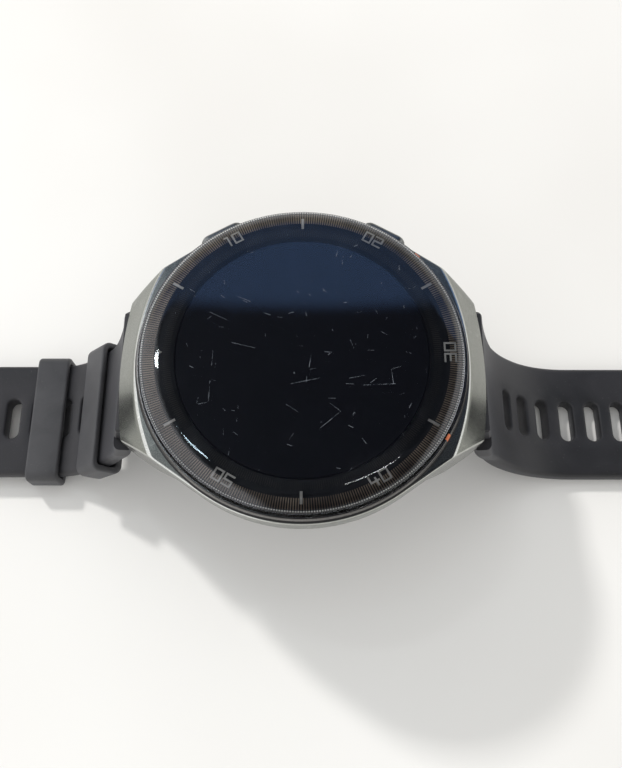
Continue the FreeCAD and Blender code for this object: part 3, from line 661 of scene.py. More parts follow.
def buttonTools(angle):
    # the pocket and stem bore of one button
    b = buttonPocket
    low, high = boxOf("button_upper")
    centre = (low.z + high.z) / 2
    outline = []
    for side in (1, -1):
        for k in range(13):
            a = math.radians(-90 + 15 * k)
            outline.append((side * (b["half"] + b["endRadius"] * math.cos(a)),
                            side * b["endRadius"] * math.sin(a)))
    turn = Matrix.Rotation(math.radians(angle), 3, "Z")
    points = [turn @ Vector((r, y, centre + z)) for r in b["reach"] for y, z in outline]
    n = len(outline)
    faces = [tuple(range(n)), tuple(range(n, 2 * n))] + bandFaces(1, 2, n)
    stem = [turn @ Vector((r, 0, centre)) for r in b["stemReach"]]
    return [makePiece("pocketTool", points, faces, "caseSteel"),
            bar("stemTool", b["stemRadius"], *stem, "caseSteel")]


def lugTools(side):
    # the space between the lugs' ends and the holes for the spring bar's tips
    g = lugRecess
    near, far = sorted((g["inner"] * side, g["outer"] * side))
    x, z, half = strapPivot.x * side, strapPivot.z, g["tipHalf"]
    return [brick("recessTool", (near, -g["half"], g["low"]), (far, g["half"], g["high"]), "caseSteel"),
            bar("tipTool", g["tipRadius"], (x, -half, z), (x, half, z), "caseSteel", 20)]


def makeCase():
    c = caseShape
    deck, seat = c["deck"], c["rearSeat"]
    rows = [caseRow(deck - c["edge"] * down, c["edge"] * inset) for down, inset in c["edgeCurve"]]
    rows += [caseRow(z) for z in (*c["wallRows"], c["wallEnd"] + c["wallGap"][0])]
    rows += [taperRow(z) for z in (c["wallEnd"] - c["wallGap"][1], 5.0, 4.5, c["tip"], 3.6, c["nose"], 2.3,
                                   1.75, seat)]
    bottom = taperRow(c["underside"])
    rows += [bottom, circleRow(bottom, c["seatRadius"])]
    # the inside, from the rear cover's seat up to the bore's rim
    for radius, z in ((c["seatRadius"], seat + c["seatGap"]), (c["cavityRadius"], seat + c["seatGap"]),
                      (c["cavityRadius"], c["ledge"]), (c["boreRadius"], c["ledge"]),
                      (c["boreRadius"], deck - c["rimGap"]), (c["boreRadius"] + c["rimGap"], deck)):
        rows.append(circleRow(bottom, radius, z))
    count = len(rows[0])
    points = [p for row in rows for p in row]
    corner, quarter = c["columns"][0], sum(c["columns"]) + 2
    ends = {corner, corner + 1, 2 * quarter - corner - 2, 2 * quarter - corner - 1}
    deckBands, cornerBands, wallBands = c["bands"]
    marks = []
    for k in range(len(rows)):
        for j in range(count):
            # the eased deck edge and the lug corners take the lighter edge steel, a painted highlight along
            # them
            onEdge = k < deckBands or (k < cornerBands and j % (2 * quarter) in ends)
            marks.append(2 if onEdge else 1 if k < wallBands else 0)
    faces = bandFaces(len(rows), len(rows), count)
    case = makePiece("caseShell", points, faces, "caseSteel", 32, ("caseWall", "caseEdge"), marks)
    tools = [tool for angle in buttonPocket["angles"] for tool in buttonTools(angle)]
    combine(case, tools + lugTools(1) + lugTools(-1), angle=27)
    fit(case, "case", "case_steel", "case_body")


bezelShape = {
    "bore": 20.8, "ledge": 9.66, "outer": bezelHigh.x, "lip": 23.08, "top": bezelHigh.z,
    "foot": 21.6, "footTop": 8.65, "skirt": 22.94, "skirtFoot": 9.0, "lipTop": 9.17,
    "flankTop": 9.56, "crown": (22.56, 22.62, 22.88, 22.98), "crownEdge": 0.06,
    "sealInner": 21.7, "sealGap": 0.02, "soft": 0.02, "steps": 320,
    "markAngles": (43.2, -31.3), "markWidth": 0.95, "markInner": 22.64, "markFoot": 9.1,
    "markProud": 0.012,
}


def makeBezel():
    b = bezelShape
    low, top, lip, outer = bezelLow.z, b["top"], b["lip"], b["outer"] - b["sealGap"]
    bore, edge, crown, flank = b["crown"]
    # a flat crown with an eased flank, and a bright lip at its foot
    profile = [(b["bore"], low), (b["foot"], low), (b["foot"], b["footTop"]), (b["skirt"], b["footTop"]),
               (b["skirt"], b["skirtFoot"]), (lip, 9.03), (lip, 9.13), (lip - 0.05, b["lipTop"]),
               (flank, b["flankTop"]), (crown, top), (edge, top), (bore, top - b["crownEdge"]),
               (bore, b["ledge"]), (b["bore"], b["ledge"])]
    bezel = lathe("bezelCrown", softCorners(profile, b["soft"]), "bezelSteel", steps=b["steps"], angle=24)
    fit(bezel, "case", "bezel_steel", "bezel_ring")

    # the seal shows as a black groove between the bezel and the deck
    sealLow, sealHigh = boxOf("bezel_seal")
    profile = [(b["sealInner"], sealLow.z), (outer, sealLow.z), (outer, 8.74), (23.0, 8.95), (22.97, 8.9),
               (22.97, sealHigh.z), (b["sealInner"], sealHigh.z)]
    seal = lathe("bezelSealLip", softCorners(profile, b["soft"]), "sealRubber", steps=b["steps"], angle=24)
    fit(seal, "case", "seal_rubber", "bezel_seal")

    half = math.degrees(b["markWidth"] / 2 / b["outer"])
    proud, inner, foot = b["markProud"], b["markInner"], b["markFoot"]
    inlay = softCorners([(inner, foot), (23.06, foot), (23.06 + proud, 9.2),
                         (flank + proud, b["flankTop"] + proud), (crown, top + proud), (inner, top + proud)],
                        b["soft"])
    for k, angle in enumerate(b["markAngles"]):
        mark = lathe("bezelInlay" + str(k), inlay, "markPaint", steps=8, sweep=2 * half, start=angle - half)
        fit(mark, "case", "mark_paint", "bezel_marks")


glassShape = {
    "flat": 19.2, "top": 11.7,     # flat out to this radius
    "drop": 1.15, "bend": 2.9,     # the edge falls by drop, slowly at first and then faster
    "flatSteps": 8, "edgeSteps": 24,
    "foot": (10.3, 10.12, 10.04),  # the rim's eased foot
    "under": (20.0, 10.0, 0.0),
}


def makeGlass():
    g = glassShape
    flat, top, rim, low = g["flat"], g["top"], glassHigh.x, glassLow.z
    profile = [(flat * k / g["flatSteps"], top) for k in range(g["flatSteps"])]
    for k in range(g["edgeSteps"] + 1):
        share = k / g["edgeSteps"]
        profile.append((lerp(flat, rim, share), top - g["drop"] * share ** g["bend"]))
    profile += list(zip((rim, rim, rim - 0.04), g["foot"])) + [(rim - 0.1, low)]
    profile += [(r, low) for r in g["under"]]
    glass = lathe("domedGlass", profile, "coverGlass", steps=320, closed=False, angle=40)
    fit(glass, "case", "cover_glass", "cover_glass")


def makeDisplay():
    sink, edge, fall = 0.01, 0.1, 0.08     # just under the glass, with an eased rim
    low, high, r = displayLow.z, displayHigh.z - sink, displayHigh.x
    profile = [(0.0, high), (r * 0.5, high), (r - edge, high), (r, displayHigh.z - fall), (r, low),
               (0.0, low)]
    display = lathe("displayDisc", profile, "displayPanel", steps=240, closed=False)
    fit(display, "case", "display", "display_panel")


dialPrint = {
    "height": 10.66,        # the print seems to float here, as the glass's refraction lifts it
    "thickness": 0.012,
    "tickCount": 400, "tickInner": 20.35, "tickOuter": 21.9, "tickWidth": 0.15,
    "dotInner": 22.04, "dotOuter": 22.22, "dotWidth": 0.17,
    "innerFrom": 18.15, "innerTo": 19.15, "innerWidth": 0.09,
    "batonInner": 19.45, "batonOuter": 21.15, "batonWidth": 0.36,
    "fineCount": 180, "fineFrom": 19.22, "fineTo": 19.34, "fineWidth": 0.12,
    "arrowTip": 19.2, "arrowFoot": 19.75, "arrowHalf": 0.32,
    "digitFoot": 19.5, "digitHeight": 1.72, "digitWidth": 1.36, "digitGap": 0.24, "stroke": 0.25,
    "lift": 0.02, "strokeLift": 0.0006,     # so that ink which crosses other ink lies above it
}

# each digit as strokes between corners of a grid that is 1 wide and 2 high
digitStrokes = {
    "0": [((0, 0), (1, 0), (1, 2), (0, 2), (0, 0))],
    "1": [((0.35, 2), (0.75, 2), (0.75, 0))],
    "2": [((0, 2), (1, 2), (1, 1), (0, 1), (0, 0), (1, 0))],
    "3": [((0, 2), (1, 2), (1, 0), (0, 0)), ((0.12, 1), (1, 1))],
    "4": [((0, 2), (0, 0.8), (1, 0.8)), ((0.72, 1.35), (0.72, 0))],
    "5": [((1, 2), (0, 2), (0, 1), (1, 1), (1, 0), (0, 0))],
}


def dialDirection(second):
    a = math.radians(6 * second)
    return Vector((-math.cos(a), math.sin(a)))


class FlatPrint:
    # thin plates of ink gathered into one piece
    def __init__(self):
        self.points = []
        self.faces = []

    def plate(self, corners, level):
        base = len(self.points)
        n = len(corners)
        thick = dialPrint["thickness"]
        for z in (level, level + thick):
            self.points += [(p[0], p[1], z) for p in corners]
        self.faces.append(tuple(base + k for k in reversed(range(n))))
        self.faces.append(tuple(base + n + k for k in range(n)))
        for k in range(n):
            m = (k + 1) % n
            self.faces.append((base + k, base + m, base + n + m, base + n + k))

    def stroke(self, start, end, width, level):
        # a straight stroke with its ends lengthened by half its width
        along = (end - start).normalized() * width / 2
        across = Vector((-along.y, along.x))
        a, b = start - along, end + along
        self.plate([a + across, a - across, b - across, b + across], level)

    def radial(self, second, inner, outer, width, level):
        d = dialDirection(second)
        across = Vector((-d.y, d.x)) * width / 2
        self.plate([d * inner + across, d * inner - across, d * outer - across, d * outer + across], level)

    def finish(self, name, ink, slot="scale_print"):
        return fit(makePiece(name, self.points, self.faces, ink), "case", slot)


def makeScale():
    p = dialPrint
    level = p["height"]
    ticks, inner, dots, batons = FlatPrint(), FlatPrint(), FlatPrint(), FlatPrint()
    for k in range(p["tickCount"]):
        second = 60 * k / p["tickCount"]
        ticks.radial(second, p["tickInner"], p["tickOuter"], p["tickWidth"], level)
        inner.radial(second, p["innerFrom"], p["innerTo"], p["innerWidth"], level)
        dots.radial(second, p["dotInner"], p["dotOuter"], p["dotWidth"], level + p["lift"])
    for k in range(p["fineCount"]):
        inner.radial(60 * k / p["fineCount"], p["fineFrom"], p["fineTo"], p["fineWidth"], level)
    for second in range(5, 60, 10):
        batons.radial(second, p["batonInner"], p["batonOuter"], p["batonWidth"], level + p["lift"])
    arrow = dialDirection(0)
    side = Vector((-arrow.y, arrow.x)) * p["arrowHalf"]
    foot = arrow * p["arrowFoot"]
    batons.plate([arrow * p["arrowTip"], foot - side, foot + side], level + p["lift"])
    ticks.finish("minuteTicks", "tickInk")
    inner.finish("innerTicks", "faintInk")
    dots.finish("rimDots", "dotInk")
    batons.finish("fiveMinuteBatons", "numeralInk")
    makeNumerals(level + p["lift"])


def makeNumerals(level):
    p = dialPrint
    numerals = FlatPrint()
    for value in (10, 20, 30, 40, 50):
        out = 1 if value in (10, 50) else -1
        outward = dialDirection(value)
        clockwise = Vector((outward.y, -outward.x))
        reading, up = clockwise * out, outward * out
        foot = p["digitFoot"] if out > 0 else p["digitFoot"] + p["digitHeight"]
        for place, digit in enumerate(str(value)):
            shift = (place - 0.5) * (p["digitWidth"] + p["digitGap"])
            wide = p["digitWidth"] - p["stroke"]
            high = p["digitHeight"] - p["stroke"]
            corner = outward * foot + reading * (shift - wide / 2) + up * p["stroke"] / 2
            for line in digitStrokes[digit]:
                spots = [corner + reading * u * wide + up * v * high / 2 for u, v in line]
                for a, b in zip(spots, spots[1:]):
                    numerals.stroke(a, b, p["stroke"], level)
                    level += p["strokeLift"]
    numerals.finish("numerals", "numeralInk")


glassWear = {
    "seed": 11, "count": 90, "level": 0.004, "width": (0.012, 0.03), "length": (0.08, 1.0),
    "reach": 18.6, "limit": 19.4,  # scratches start within reach and stay within limit
    # longer scratches: start, end and width
    "long": (((8.3, -5.2), (12.6, -5.0), 0.025), ((6.4, -4.2), (8.6, -3.8), 0.02),
             ((12.3, -5.0), (12.1, -2.9), 0.02), ((12.1, -2.9), (13.4, -2.5), 0.018),
             ((-1.4, -5.0), (2.4, -4.2), 0.022), ((0.6, -4.8), (0.7, -3.9), 0.018),
             ((-12.4, -7.6), (-12.3, -4.6), 0.022), ((-12.4, -7.6), (-13.7, -7.9), 0.022),
             ((-9.0, 8.0), (-7.2, 7.2), 0.02), ((-12.8, 5.6), (-10.4, 4.4), 0.018),
             ((2.5, -11.2), (5.2, -8.9), 0.022), ((5.2, -8.9), (3.8, -7.8), 0.018),
             ((1.0, -2.6), (1.3, -0.6), 0.025), ((6.6, 1.4), (7.1, 0.2), 0.022),
             ((-9.6, 1.0), (-6.4, 0.2), 0.016), ((-12.2, -2.4), (-12.1, -0.2), 0.02),
             ((10.9, 2.6), (11.8, 2.1), 0.02)),
}


def makeWear():
    w = glassWear
    rng = random.Random(w["seed"])
    wear = FlatPrint()
    level = glassShape["top"] + w["level"] - dialPrint["thickness"]
    for _ in range(w["count"]):
        far, a = w["reach"] * math.sqrt(rng.random()), rng.uniform(0, 2 * math.pi)
        start = Vector((far * math.cos(a), far * math.sin(a)))
        heading, length = rng.uniform(0, math.pi), rng.uniform(*w["length"])
        end = start + Vector((math.cos(heading), math.sin(heading))) * length
        if end.length < w["limit"]:
            wear.stroke(start, end, rng.uniform(*w["width"]), level)
    for start, end, width in w["long"]:
        wear.stroke(Vector(start), Vector(end), width, level)
    wear.finish("glassScratches", "glassScratch", "cover_glass")


strapPivot = (boxOf("bar_tube_long")[0] + boxOf("bar_tube_long")[1]) / 2
strapShape = {
    "start": (26.6, 3.9), "heading": -77.0, "thickness": 2.7,
    "bends": {"long": [(41.0, 10.5), (22.5, 27.5), (15.5, 39.0)],
              "short": [(41.0, 10.5), (22.5, 26.5), (0, 2.2), (9.5, 40.0)]},
    "half": 9.8, "rootHalf": 11.0, "taperFrom": -3.0, "taperTo": -9.5,
    "rootAt": 3.35, "edge": 0.8, "slotRadius": 1.15, "slotCore": 2.3, "pitch": 4.5,
    "firstSlot": {"long": 19.3, "short": 18.7}, "endMargin": 8.0, "tipRun": 7.0, "eyeRadius": 1.35,
    "columns": (-5.0, -4.2, -3.5, -2.9, -2.3, -1.15, 0.0, 1.15, 2.3, 2.9, 3.5, 4.2, 5.0),
    "outerColumn": 7.4,
    "alongSteps": 6, "edgeSteps": 5, "leadStep": 0.6, "tailSteps": 16, "tailEase": 1.8,
    # each slot's edge on its way down: how far it spreads and how deep it lies
    "slotTop": ((0.42, 0.0), (0.2, 0.06), (0.06, 0.2), (0.0, 0.42)),
    "slotFoot": ((0.0, 0.3), (0.1, 0.08), (0.3, 0.0)),
}


def strapRoute(side):
    # straight runs as (0, length) and bends as (radius, degrees), along the outer face
    s = strapShape
    low, high = boxOf("strap_" + side)
    level = low.z + s["thickness"]
    endX = max(abs(low.x), abs(high.x))
    bends = s["bends"][side]
    wholeRoute = 1e6         # longer than any route
    plain = walkRoute([(0, 0.0)] + bends, wholeRoute)
    first = (plain[1] - level) / math.sin(math.radians(-s["heading"]))
    bent = [(0, first)] + bends
    x = walkRoute(bent, wholeRoute)[0]
    return bent + [(0, endX - x)]


def stepLength(step):
    return step[0] * math.radians(step[1]) if step[0] else step[1]


def walkRoute(route, distance, depth=0.0):
    # the point (x, z) and heading at a distance; depth goes in towards the wrist
    x, z = strapShape["start"]
    heading = math.radians(strapShape["heading"])
    for radius, amount in route:
        length = min(stepLength((radius, amount)), max(0.0, distance))
        distance -= stepLength((radius, amount))
        if radius:
            after = heading + length / radius
            x += radius * (math.sin(after) - math.sin(heading))
            z -= radius * (math.cos(after) - math.cos(heading))
            heading = after
        else:
            x += length * math.cos(heading)
            z += length * math.sin(heading)
        if distance <= 0:
            break
    return x + depth * math.sin(heading), z - depth * math.cos(heading), heading


class Band:
    # a strap half in its own coordinates: s along the outer face, y across, n in from the outer face
    def __init__(self, side):
        self.side = side
        self.route = strapRoute(side)
        self.length = sum(stepLength(step) for step in self.route)
        self.places = {}
        self.points = []
        self.faces = []

    def spot(self, s, y, n):
        key = (round(s, 3), round(y, 3), round(n, 3))
        if key not in self.places:
            self.places[key] = len(self.points)
            self.points.append(self.mapped(s, y, n))
        return self.places[key]

    def mapped(self, s, y, n):
        c = strapShape
        left = self.length - s
        if self.side == "short" and left < c["eyeRadius"]:
            # the end is rounded about the buckle's bar
            swell = math.sqrt(max(0.02, 1 - (1 - left / c["eyeRadius"]) ** 2))
            n = lerp(c["eyeRadius"], n, swell)
        x, z, _ = walkRoute(self.route, s, n)
        share = min(1.0, max(0.0, (z - c["taperTo"]) / (c["taperFrom"] - c["taperTo"])))
        half = lerp(c["half"], c["rootHalf"], share)
        core = c["columns"][-1]
        if abs(y) > core:
            y = math.copysign(core + (abs(y) - core) * (half - core) / (c["half"] - core), y)
        if self.side == "long" and left < c["tipRun"]:
            radius = (c["half"] ** 2 + c["tipRun"] ** 2) / (2 * c["tipRun"])
            y *= math.sqrt(max(0.02, radius ** 2 - (radius - left) ** 2)) / c["half"]
        return (x if self.side == "long" else -x, y, z)

    def face(self, *spots):
        self.faces.append(tuple(self.spot(*p) for p in spots))

    def section(self):
        # the loop across the strap, from the outer face's first column round to the same place
        c = strapShape
        edge, half, thick = c["edge"], c["half"], c["thickness"]
        right = []
        for k in range(c["edgeSteps"] + 1):
            a = math.radians(90 * k / c["edgeSteps"])
            right.append((half - edge + edge * math.sin(a), edge * (1 - math.cos(a))))
        right += [(y, thick - n) for y, n in reversed(right)]
        top = [(y, 0.0) for y in (-c["outerColumn"], *c["columns"], c["outerColumn"])]
        bottom = [(y, thick) for y, _ in reversed(top)]
        left = [(-y, n) for y, n in reversed(right)]
        return top + right + bottom + left

    def slotRings(self, middle):
        c = strapShape
        columns, steps = c["columns"], c["alongSteps"]
        half = c["pitch"] / 2
        rim = [(-half, y) for y in columns]
        rim += [(-half + c["pitch"] * k / steps, columns[-1]) for k in range(1, steps)]
        rim += [(half, y) for y in reversed(columns)]
        rim += [(half - c["pitch"] * k / steps, columns[0]) for k in range(1, steps)]
        rings = [[(middle + u, y, 0.0) for u, y in rim]]
        foot = [(spread, c["thickness"] - above) for spread, above in c["slotFoot"]]
        for spread, n in [*c["slotTop"], *foot]:
            ring = []
            for u, y in rim:
                core = max(-c["slotCore"], min(c["slotCore"], y))
                d = Vector((u, y - core)).normalized() * (c["slotRadius"] + spread)
                ring.append((middle + d.x, core + d.y, n))
            rings.append(ring)
        rings.append([(middle + u, y, c["thickness"]) for u, y in rim])
        return rings

    def build(self):
        c = strapShape
        first = c["firstSlot"][self.side] - c["pitch"] / 2
        count = int((self.length - c["endMargin"] - c["firstSlot"][self.side]) / c["pitch"]) + 1
        step = c["pitch"] / c["alongSteps"]
        lead = math.ceil((first - c["rootAt"]) / c["leadStep"])
        stations = [lerp(c["rootAt"], first, k / lead) for k in range(lead)]
        stations += [first + step * k for k in range(count * c["alongSteps"])]
        last = first + count * c["pitch"]
        tail = self.length - last
        ends = c["tailSteps"]
        stations += [last + tail * (1 - (1 - k / ends) ** c["tailEase"]) for k in range(ends + 1)]
        loop = self.section()
        core = c["columns"]
        for a, b in zip(stations, stations[1:]):
            inSlots = first - 1e-6 <= a and b <= last + 1e-6
            for (y0, n0), (y1, n1) in zip(loop, loop[1:] + loop[:1]):
                inside = n0 == n1 and max(abs(y0), abs(y1)) <= core[-1]
                if inSlots and inside:
                    continue
                self.face((a, y0, n0), (a, y1, n1), (b, y1, n1), (b, y0, n0))
        for k in range(count):
            rings = self.slotRings(first + c["pitch"] * (k + 0.5))
            for ring, after in zip(rings, rings[1:]):
                for j in range(len(ring)):
                    m = (j + 1) % len(ring)
                    self.face(ring[j], ring[m], after[m], after[j])
        for s in (stations[0], stations[-1]):
            self.faces.append(tuple(self.spot(s, y, n) for y, n in loop))
        return makePiece("strap" + self.side.title(), self.points, self.faces, "strapRubber", 40)


neckShape = {
    "eyeRadius": 1.5, "half": 9.3, "edge": 0.25,
    "under": (25.0, 0.4),          # its corner below the eye
    "along": ((5.6, 2.3), (5.6, 0.06), (3.4, 0.02), (1.6, 0.0)),    # on the band: distance and depth
    "over": ((26.5, 3.8), (26.2, 3.9)),
}

strapCuts = {
    "bore": 0.95, "reach": 12.0,   # the bore for the spring bar's tube
    "knobInner": 2.0, "knobOuter": 0.65, "knobSpan": (4.8, 7.4), "knobLow": -1.0,
    "hinge": 0.8, "hingeReach": 14.0,
    "notchBack": 6.0, "notchFront": 2.6, "notchHalf": 3.4, "notchDeep": 5.0,
}


def strapNeck(band):
    # the eye round the spring bar and the neck that joins it to the band
    g = neckShape
    s = 1 if band.side == "long" else -1
    eye = []
    for k in range(13):
        a = math.radians(90 + 15 * k)
        eye.append((strapPivot.x + g["eyeRadius"] * math.cos(a), strapPivot.z + g["eyeRadius"] * math.sin(a)))
    outline = eye + [g["under"]]
    outline += [walkRoute(band.route, d, n)[:2] for d, n in g["along"]]
    outline += g["over"]
    outline = [(x * s, z) for x, z in outline]
    return prism("neckTool", outline, -g["half"], g["half"], "strapRubber", g["edge"])


def makeStrapHalf(side):
    g = strapCuts
    sign = 1 if side == "long" else -1
    band = Band(side)
    piece = band.build()
    combine(piece, [strapNeck(band)], "UNION", 40)
    x, z = strapPivot.x * sign, strapPivot.z
    tools = [bar("boreTool", g["bore"], (x, -g["reach"], z), (x, g["reach"], z), "strapRubber", 28)]
    # room for the knob of the quick-release pin
    near, far = sorted((x - g["knobInner"] * sign, x + g["knobOuter"] * sign))
    left, right = g["knobSpan"]
    tools.append(brick("knobTool", (near, left, g["knobLow"]), (far, right, z), "strapRubber"))
    if side == "short":
        # the hinge of the buckle's bar and the notch for the tongue
        low, high = boxOf("buckle_bar")
        x, z = (low.x + high.x) / 2, (low.z + high.z) / 2
        reach, half, deep = g["hingeReach"], g["notchHalf"], g["notchDeep"]
        tools.append(bar("hingeTool", g["hinge"], (x, -reach, z), (x, reach, z), "strapRubber", 28))
        tools.append(brick("notchTool", (x - g["notchBack"], -half, z - deep),
                           (x + g["notchFront"], half, z + deep), "strapRubber"))
    combine(piece, tools, angle=40)
    fit(piece, "strap_" + side, "strap_rubber", "strap_" + side)


keeperShape = {"length": 5.4, "half": 10.0, "side": 1.05, "floor": 1.2, "height": 3.25, "top": 1.0,
               "outerCorner": 1.5, "innerCorner": 0.5, "edge": 0.42, "slope": -46.5}


def roundedBox(half, low, high, corner, steps=7):
    # a loop of (y, z), the same number of points for any size
    loop = []
    for cy, cz, start in ((half, high, 0), (-half, high, 90), (-half, low, 180), (half, low, 270)):
        for k in range(steps + 1):
            a = math.radians(start + 90 * k / steps)
            y = cy - math.copysign(corner, cy) + corner * math.cos(a)
            z = cz - (corner if start < 180 else -corner) + corner * math.sin(a)
            loop.append((y, z))
    return loop


def easedWall(half, edge):
    # the wall's section: u along the strap, t from the inner (0) to the outer (1) face
    section = []
    steps, wallShare = 4, 0.8      # t runs over a wall about 1 mm thick, so the edge takes this share of it
    for u, t, start in ((half, 1, 0), (-half, 1, 90), (-half, 0, 180), (half, 0, 270)):
        for k in range(steps + 1):
            a = math.radians(start + 90 * k / steps)
            section.append((u - math.copysign(edge, u) + edge * math.cos(a),
                            t + (edge * wallShare) * (math.sin(a) - (1 if t else -1))))
    return section


def makeKeeper(name, node, body, centre, slope):
    k = keeperShape
    outer = roundedBox(k["half"] + k["side"], -k["floor"], k["height"] + k["top"], k["outerCorner"])
    inner = roundedBox(k["half"], 0.0, k["height"], k["innerCorner"])
    wall = easedWall(k["length"] / 2, k["edge"])
    turn = Matrix.Rotation(math.radians(slope), 3, "Y")
    points = []
    for (oy, oz), (iy, iz) in zip(outer, inner):
        for u, t in wall:
            spot = turn @ Vector((u, lerp(iy, oy, t), lerp(iz, oz, t)))
            points.append(spot + centre)
    faces = bandFaces(len(outer), len(outer), len(wall))
    # the keeper's lighter rubber is painted sheen
    keeper = makePiece(name, points, faces, "keeperRubber", 40)
    fit(keeper, body, "strap_rubber", node)


def makeKeepers():
    low, high = boxOf("keeper_outer")
    middle = (low + high) / 2
    makeKeeper("keeperOuter", "keeper_outer", "outer_keeper",
               Vector((middle.x, 0, low.z + keeperShape["floor"])), 0)
    low, high = boxOf("keeper_inner")
    slope = math.radians(keeperShape["slope"])
    # the loop's own middle lies half its height above the floor of its opening
    lift = (keeperShape["height"] + keeperShape["top"] - keeperShape["floor"]) / 2
    middle = (low + high) / 2
    floor = middle - Vector((math.sin(-slope) * -lift, 0, math.cos(slope) * lift))
    makeKeeper("keeperInner", "keeper_inner", "inner_keeper", Vector((floor.x, 0, floor.z)),
               keeperShape["slope"])


rearShape = {
    "seat": 1.4, "spigot": 18.7, "windowSeat": 1.35, "windowRadius": 11.05, "windowEdge": 0.12,
    "rimEdge": (0.45, 0.3), "ringInner": 10.0, "soft": 0.08,
    "screwAngles": (30, 150, 210, 330), "screwCircle": 17.4, "screwRadius": 1.25, "screwDepth": 1.55,
    "contacts": ((-2.6, -15), (2.6, -15)), "contactRadius": 1.35, "contactDepth": 1.25,
    "vent": (0, 14.8), "ventRadius": 0.5, "ventDepth": 3,
    # the window's dome as radius and height above its lowest point, then its rim
    "dome": ((0.0, 0.0), (3.0, 0.0), (6.0, 0.005), (8.6, 0.02)),
    "domeRim": ((9.5, 0.06), (10.4, 0.36), (10.9, 0.82)), "rimHeight": 1.02,
}


def makeRear():
    g = rearShape
    r, low, high, inner = coverHigh.x, coverLow.z, coverHigh.z, g["windowRadius"]
    profile = [(inner, g["windowSeat"]), (inner, low + g["windowEdge"]), (inner + g["windowEdge"], low),
               (r - g["rimEdge"][0], low), (r, low + g["rimEdge"][1]), (r, g["seat"]),
               (g["spigot"], g["seat"]),
               (g["spigot"], high), (g["ringInner"], high), (g["ringInner"], g["windowSeat"])]
    cover = lathe("rearCover", softCorners(profile, g["soft"]), "rearPlastic", steps=240, angle=30)
    tools = []
    for angle in g["screwAngles"]:
        a = math.radians(angle)
        x, y = g["screwCircle"] * math.cos(a), g["screwCircle"] * math.sin(a)
        tools.append(bar("screwTool", g["screwRadius"], (x, y, 0), (x, y, g["screwDepth"]),
                         "rearPlastic", 40))
    for x, y in g["contacts"]:
        tools.append(bar("contactTool", g["contactRadius"], (x, y, 0), (x, y, g["contactDepth"]),
                         "rearPlastic", 40))
    x, y = g["vent"]
    tools.append(bar("ventTool", g["ventRadius"], (x, y, 0), (x, y, g["ventDepth"]), "rearPlastic", 28))
    combine(cover, tools, angle=30)
    fit(cover, "case", "rear_plastic", "rear_cover")

    low, high = boxOf("sensor_window")
    profile = [(r, low.z + rise) for r, rise in g["dome"]]
    profile += [*g["domeRim"], (high.x, g["rimHeight"]), (high.x, high.z), (0.0, high.z)]
    window = lathe("sensorDome", profile, "sensorGlass", steps=200, closed=False, angle=30)
    fit(window, "case", "sensor_glass", "sensor_window")


easedPieces = [
    ("button_upper", "buttonSteel", "upper_button", "button_steel", 0.1),
    ("button_lower", "buttonSteel", "lower_button", "button_steel", 0.1),
    ("rear_screws", "hardwareSteel", "case", "steel_hardware", 0.05),
    ("charging_contacts", "contactGold", "case", "gold_contact", 0.05),
    ("buckle_frame", "buckleSteel", "buckle", "buckle_steel", 0.3),
    ("buckle_tongue", "buckleSteel", "tongue", "buckle_steel", 0.14),
    ("buckle_bar", "hardwareSteel", "buckle", "buckle_steel", 0.08),
]

nodeFinishes = {
    "sealRubber": ("rear_seal", "button_seal_upper", "button_seal_lower"),
    "gasketTape": ("glass_gasket",),
    "scaleBack": ("scale_ring",),
    "flexFilm": ("display_flex", "battery_lead", "button_flex"),
    "chassisPlastic": ("inner_frame", "antenna_ring", "light_baffle"),
    "circuitBoard": ("main_board", "sensor_board"),
    "shieldTin": ("shield_cans",),
    "chipResin": ("board_chips", "photodiodes"),
    "batteryWrap": ("battery",),
    "motorSteel": ("vibration_motor",),
    "membraneWhite": ("vent_membrane",),
    "ledLens": ("sensor_leds",),
    "hardwareSteel": ("button_clip_upper", "button_clip_lower", "button_spring_upper", "button_spring_lower",
                      "button_switch_upper", "button_switch_lower", "bar_tube_long", "bar_tube_short",
                      "bar_tip_long", "bar_tip_short", "bar_spring_long", "bar_spring_short",
                      "release_pin_long", "release_pin_short"),
}


def dressNodes():
    for finish, nodes in nodeFinishes.items():
        for node in nodes:
            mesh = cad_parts[node].data
            mesh.materials.clear()
            mesh.materials.append(finishes[finish])
            polish(mesh, 30)


studio = {
    "lens": 38.04, "sensor": 36.0, "place": (1.61, -43.26, 113.46), "turns": (0.540, 20.576, -0.479),
    "clip": (0.005, 20), "floorSize": 3000.0, "floorGap": 0.01,
}


def makeFloor():
    f = Finish("paleTable")
    cloud = f.noise(120.0, 3, 0.5)
    grain = f.noise(1.2, 3, 0.6)
    colour = f.mix(cloud.between(0.3, 0.7), tone(226, 224, 221), tone(236, 235, 233))
    f.surface(f.principled({"Base Color": colour, "Roughness": 0.5 + grain * 0.1,
                            "Normal": f.bump(grain, 0.02, 0.2)}))
    size, z = studio["floorSize"], cadBox[0].z / mm - studio["floorGap"]
    mesh = bpy.data.meshes.new("table")
    corners = [(-size, -size, z), (size, -size, z), (size, size, z), (-size, size, z)]
    mesh.from_pydata([Vector(p) * mm for p in corners], [], [(0, 1, 2, 3)])
    mesh.materials.append(f.material)
    table = bpy.data.objects.new("table", mesh)
    scene.collection.objects.link(table)


lights = {
    "keyWindow": {"place": (-840, 1000, 1120), "size": (140, 140), "power": 15.4,
                  "colour": (1.0, 0.985, 0.96)},
    "sideWindow": {"place": (-214, 254, 634), "size": (84, 20), "power": 0.2, "colour": (0.93, 0.98, 1.0)},
    "ceilingPanel": {"place": (-156, 182, 780), "size": (60, 22), "power": 0.07, "colour": (0.7, 0.9, 1.0)},
    "ceilingStrip": {"place": (92, 146, 788), "size": (95, 8), "power": 0.04, "colour": (1.0, 1.0, 1.0)},
}


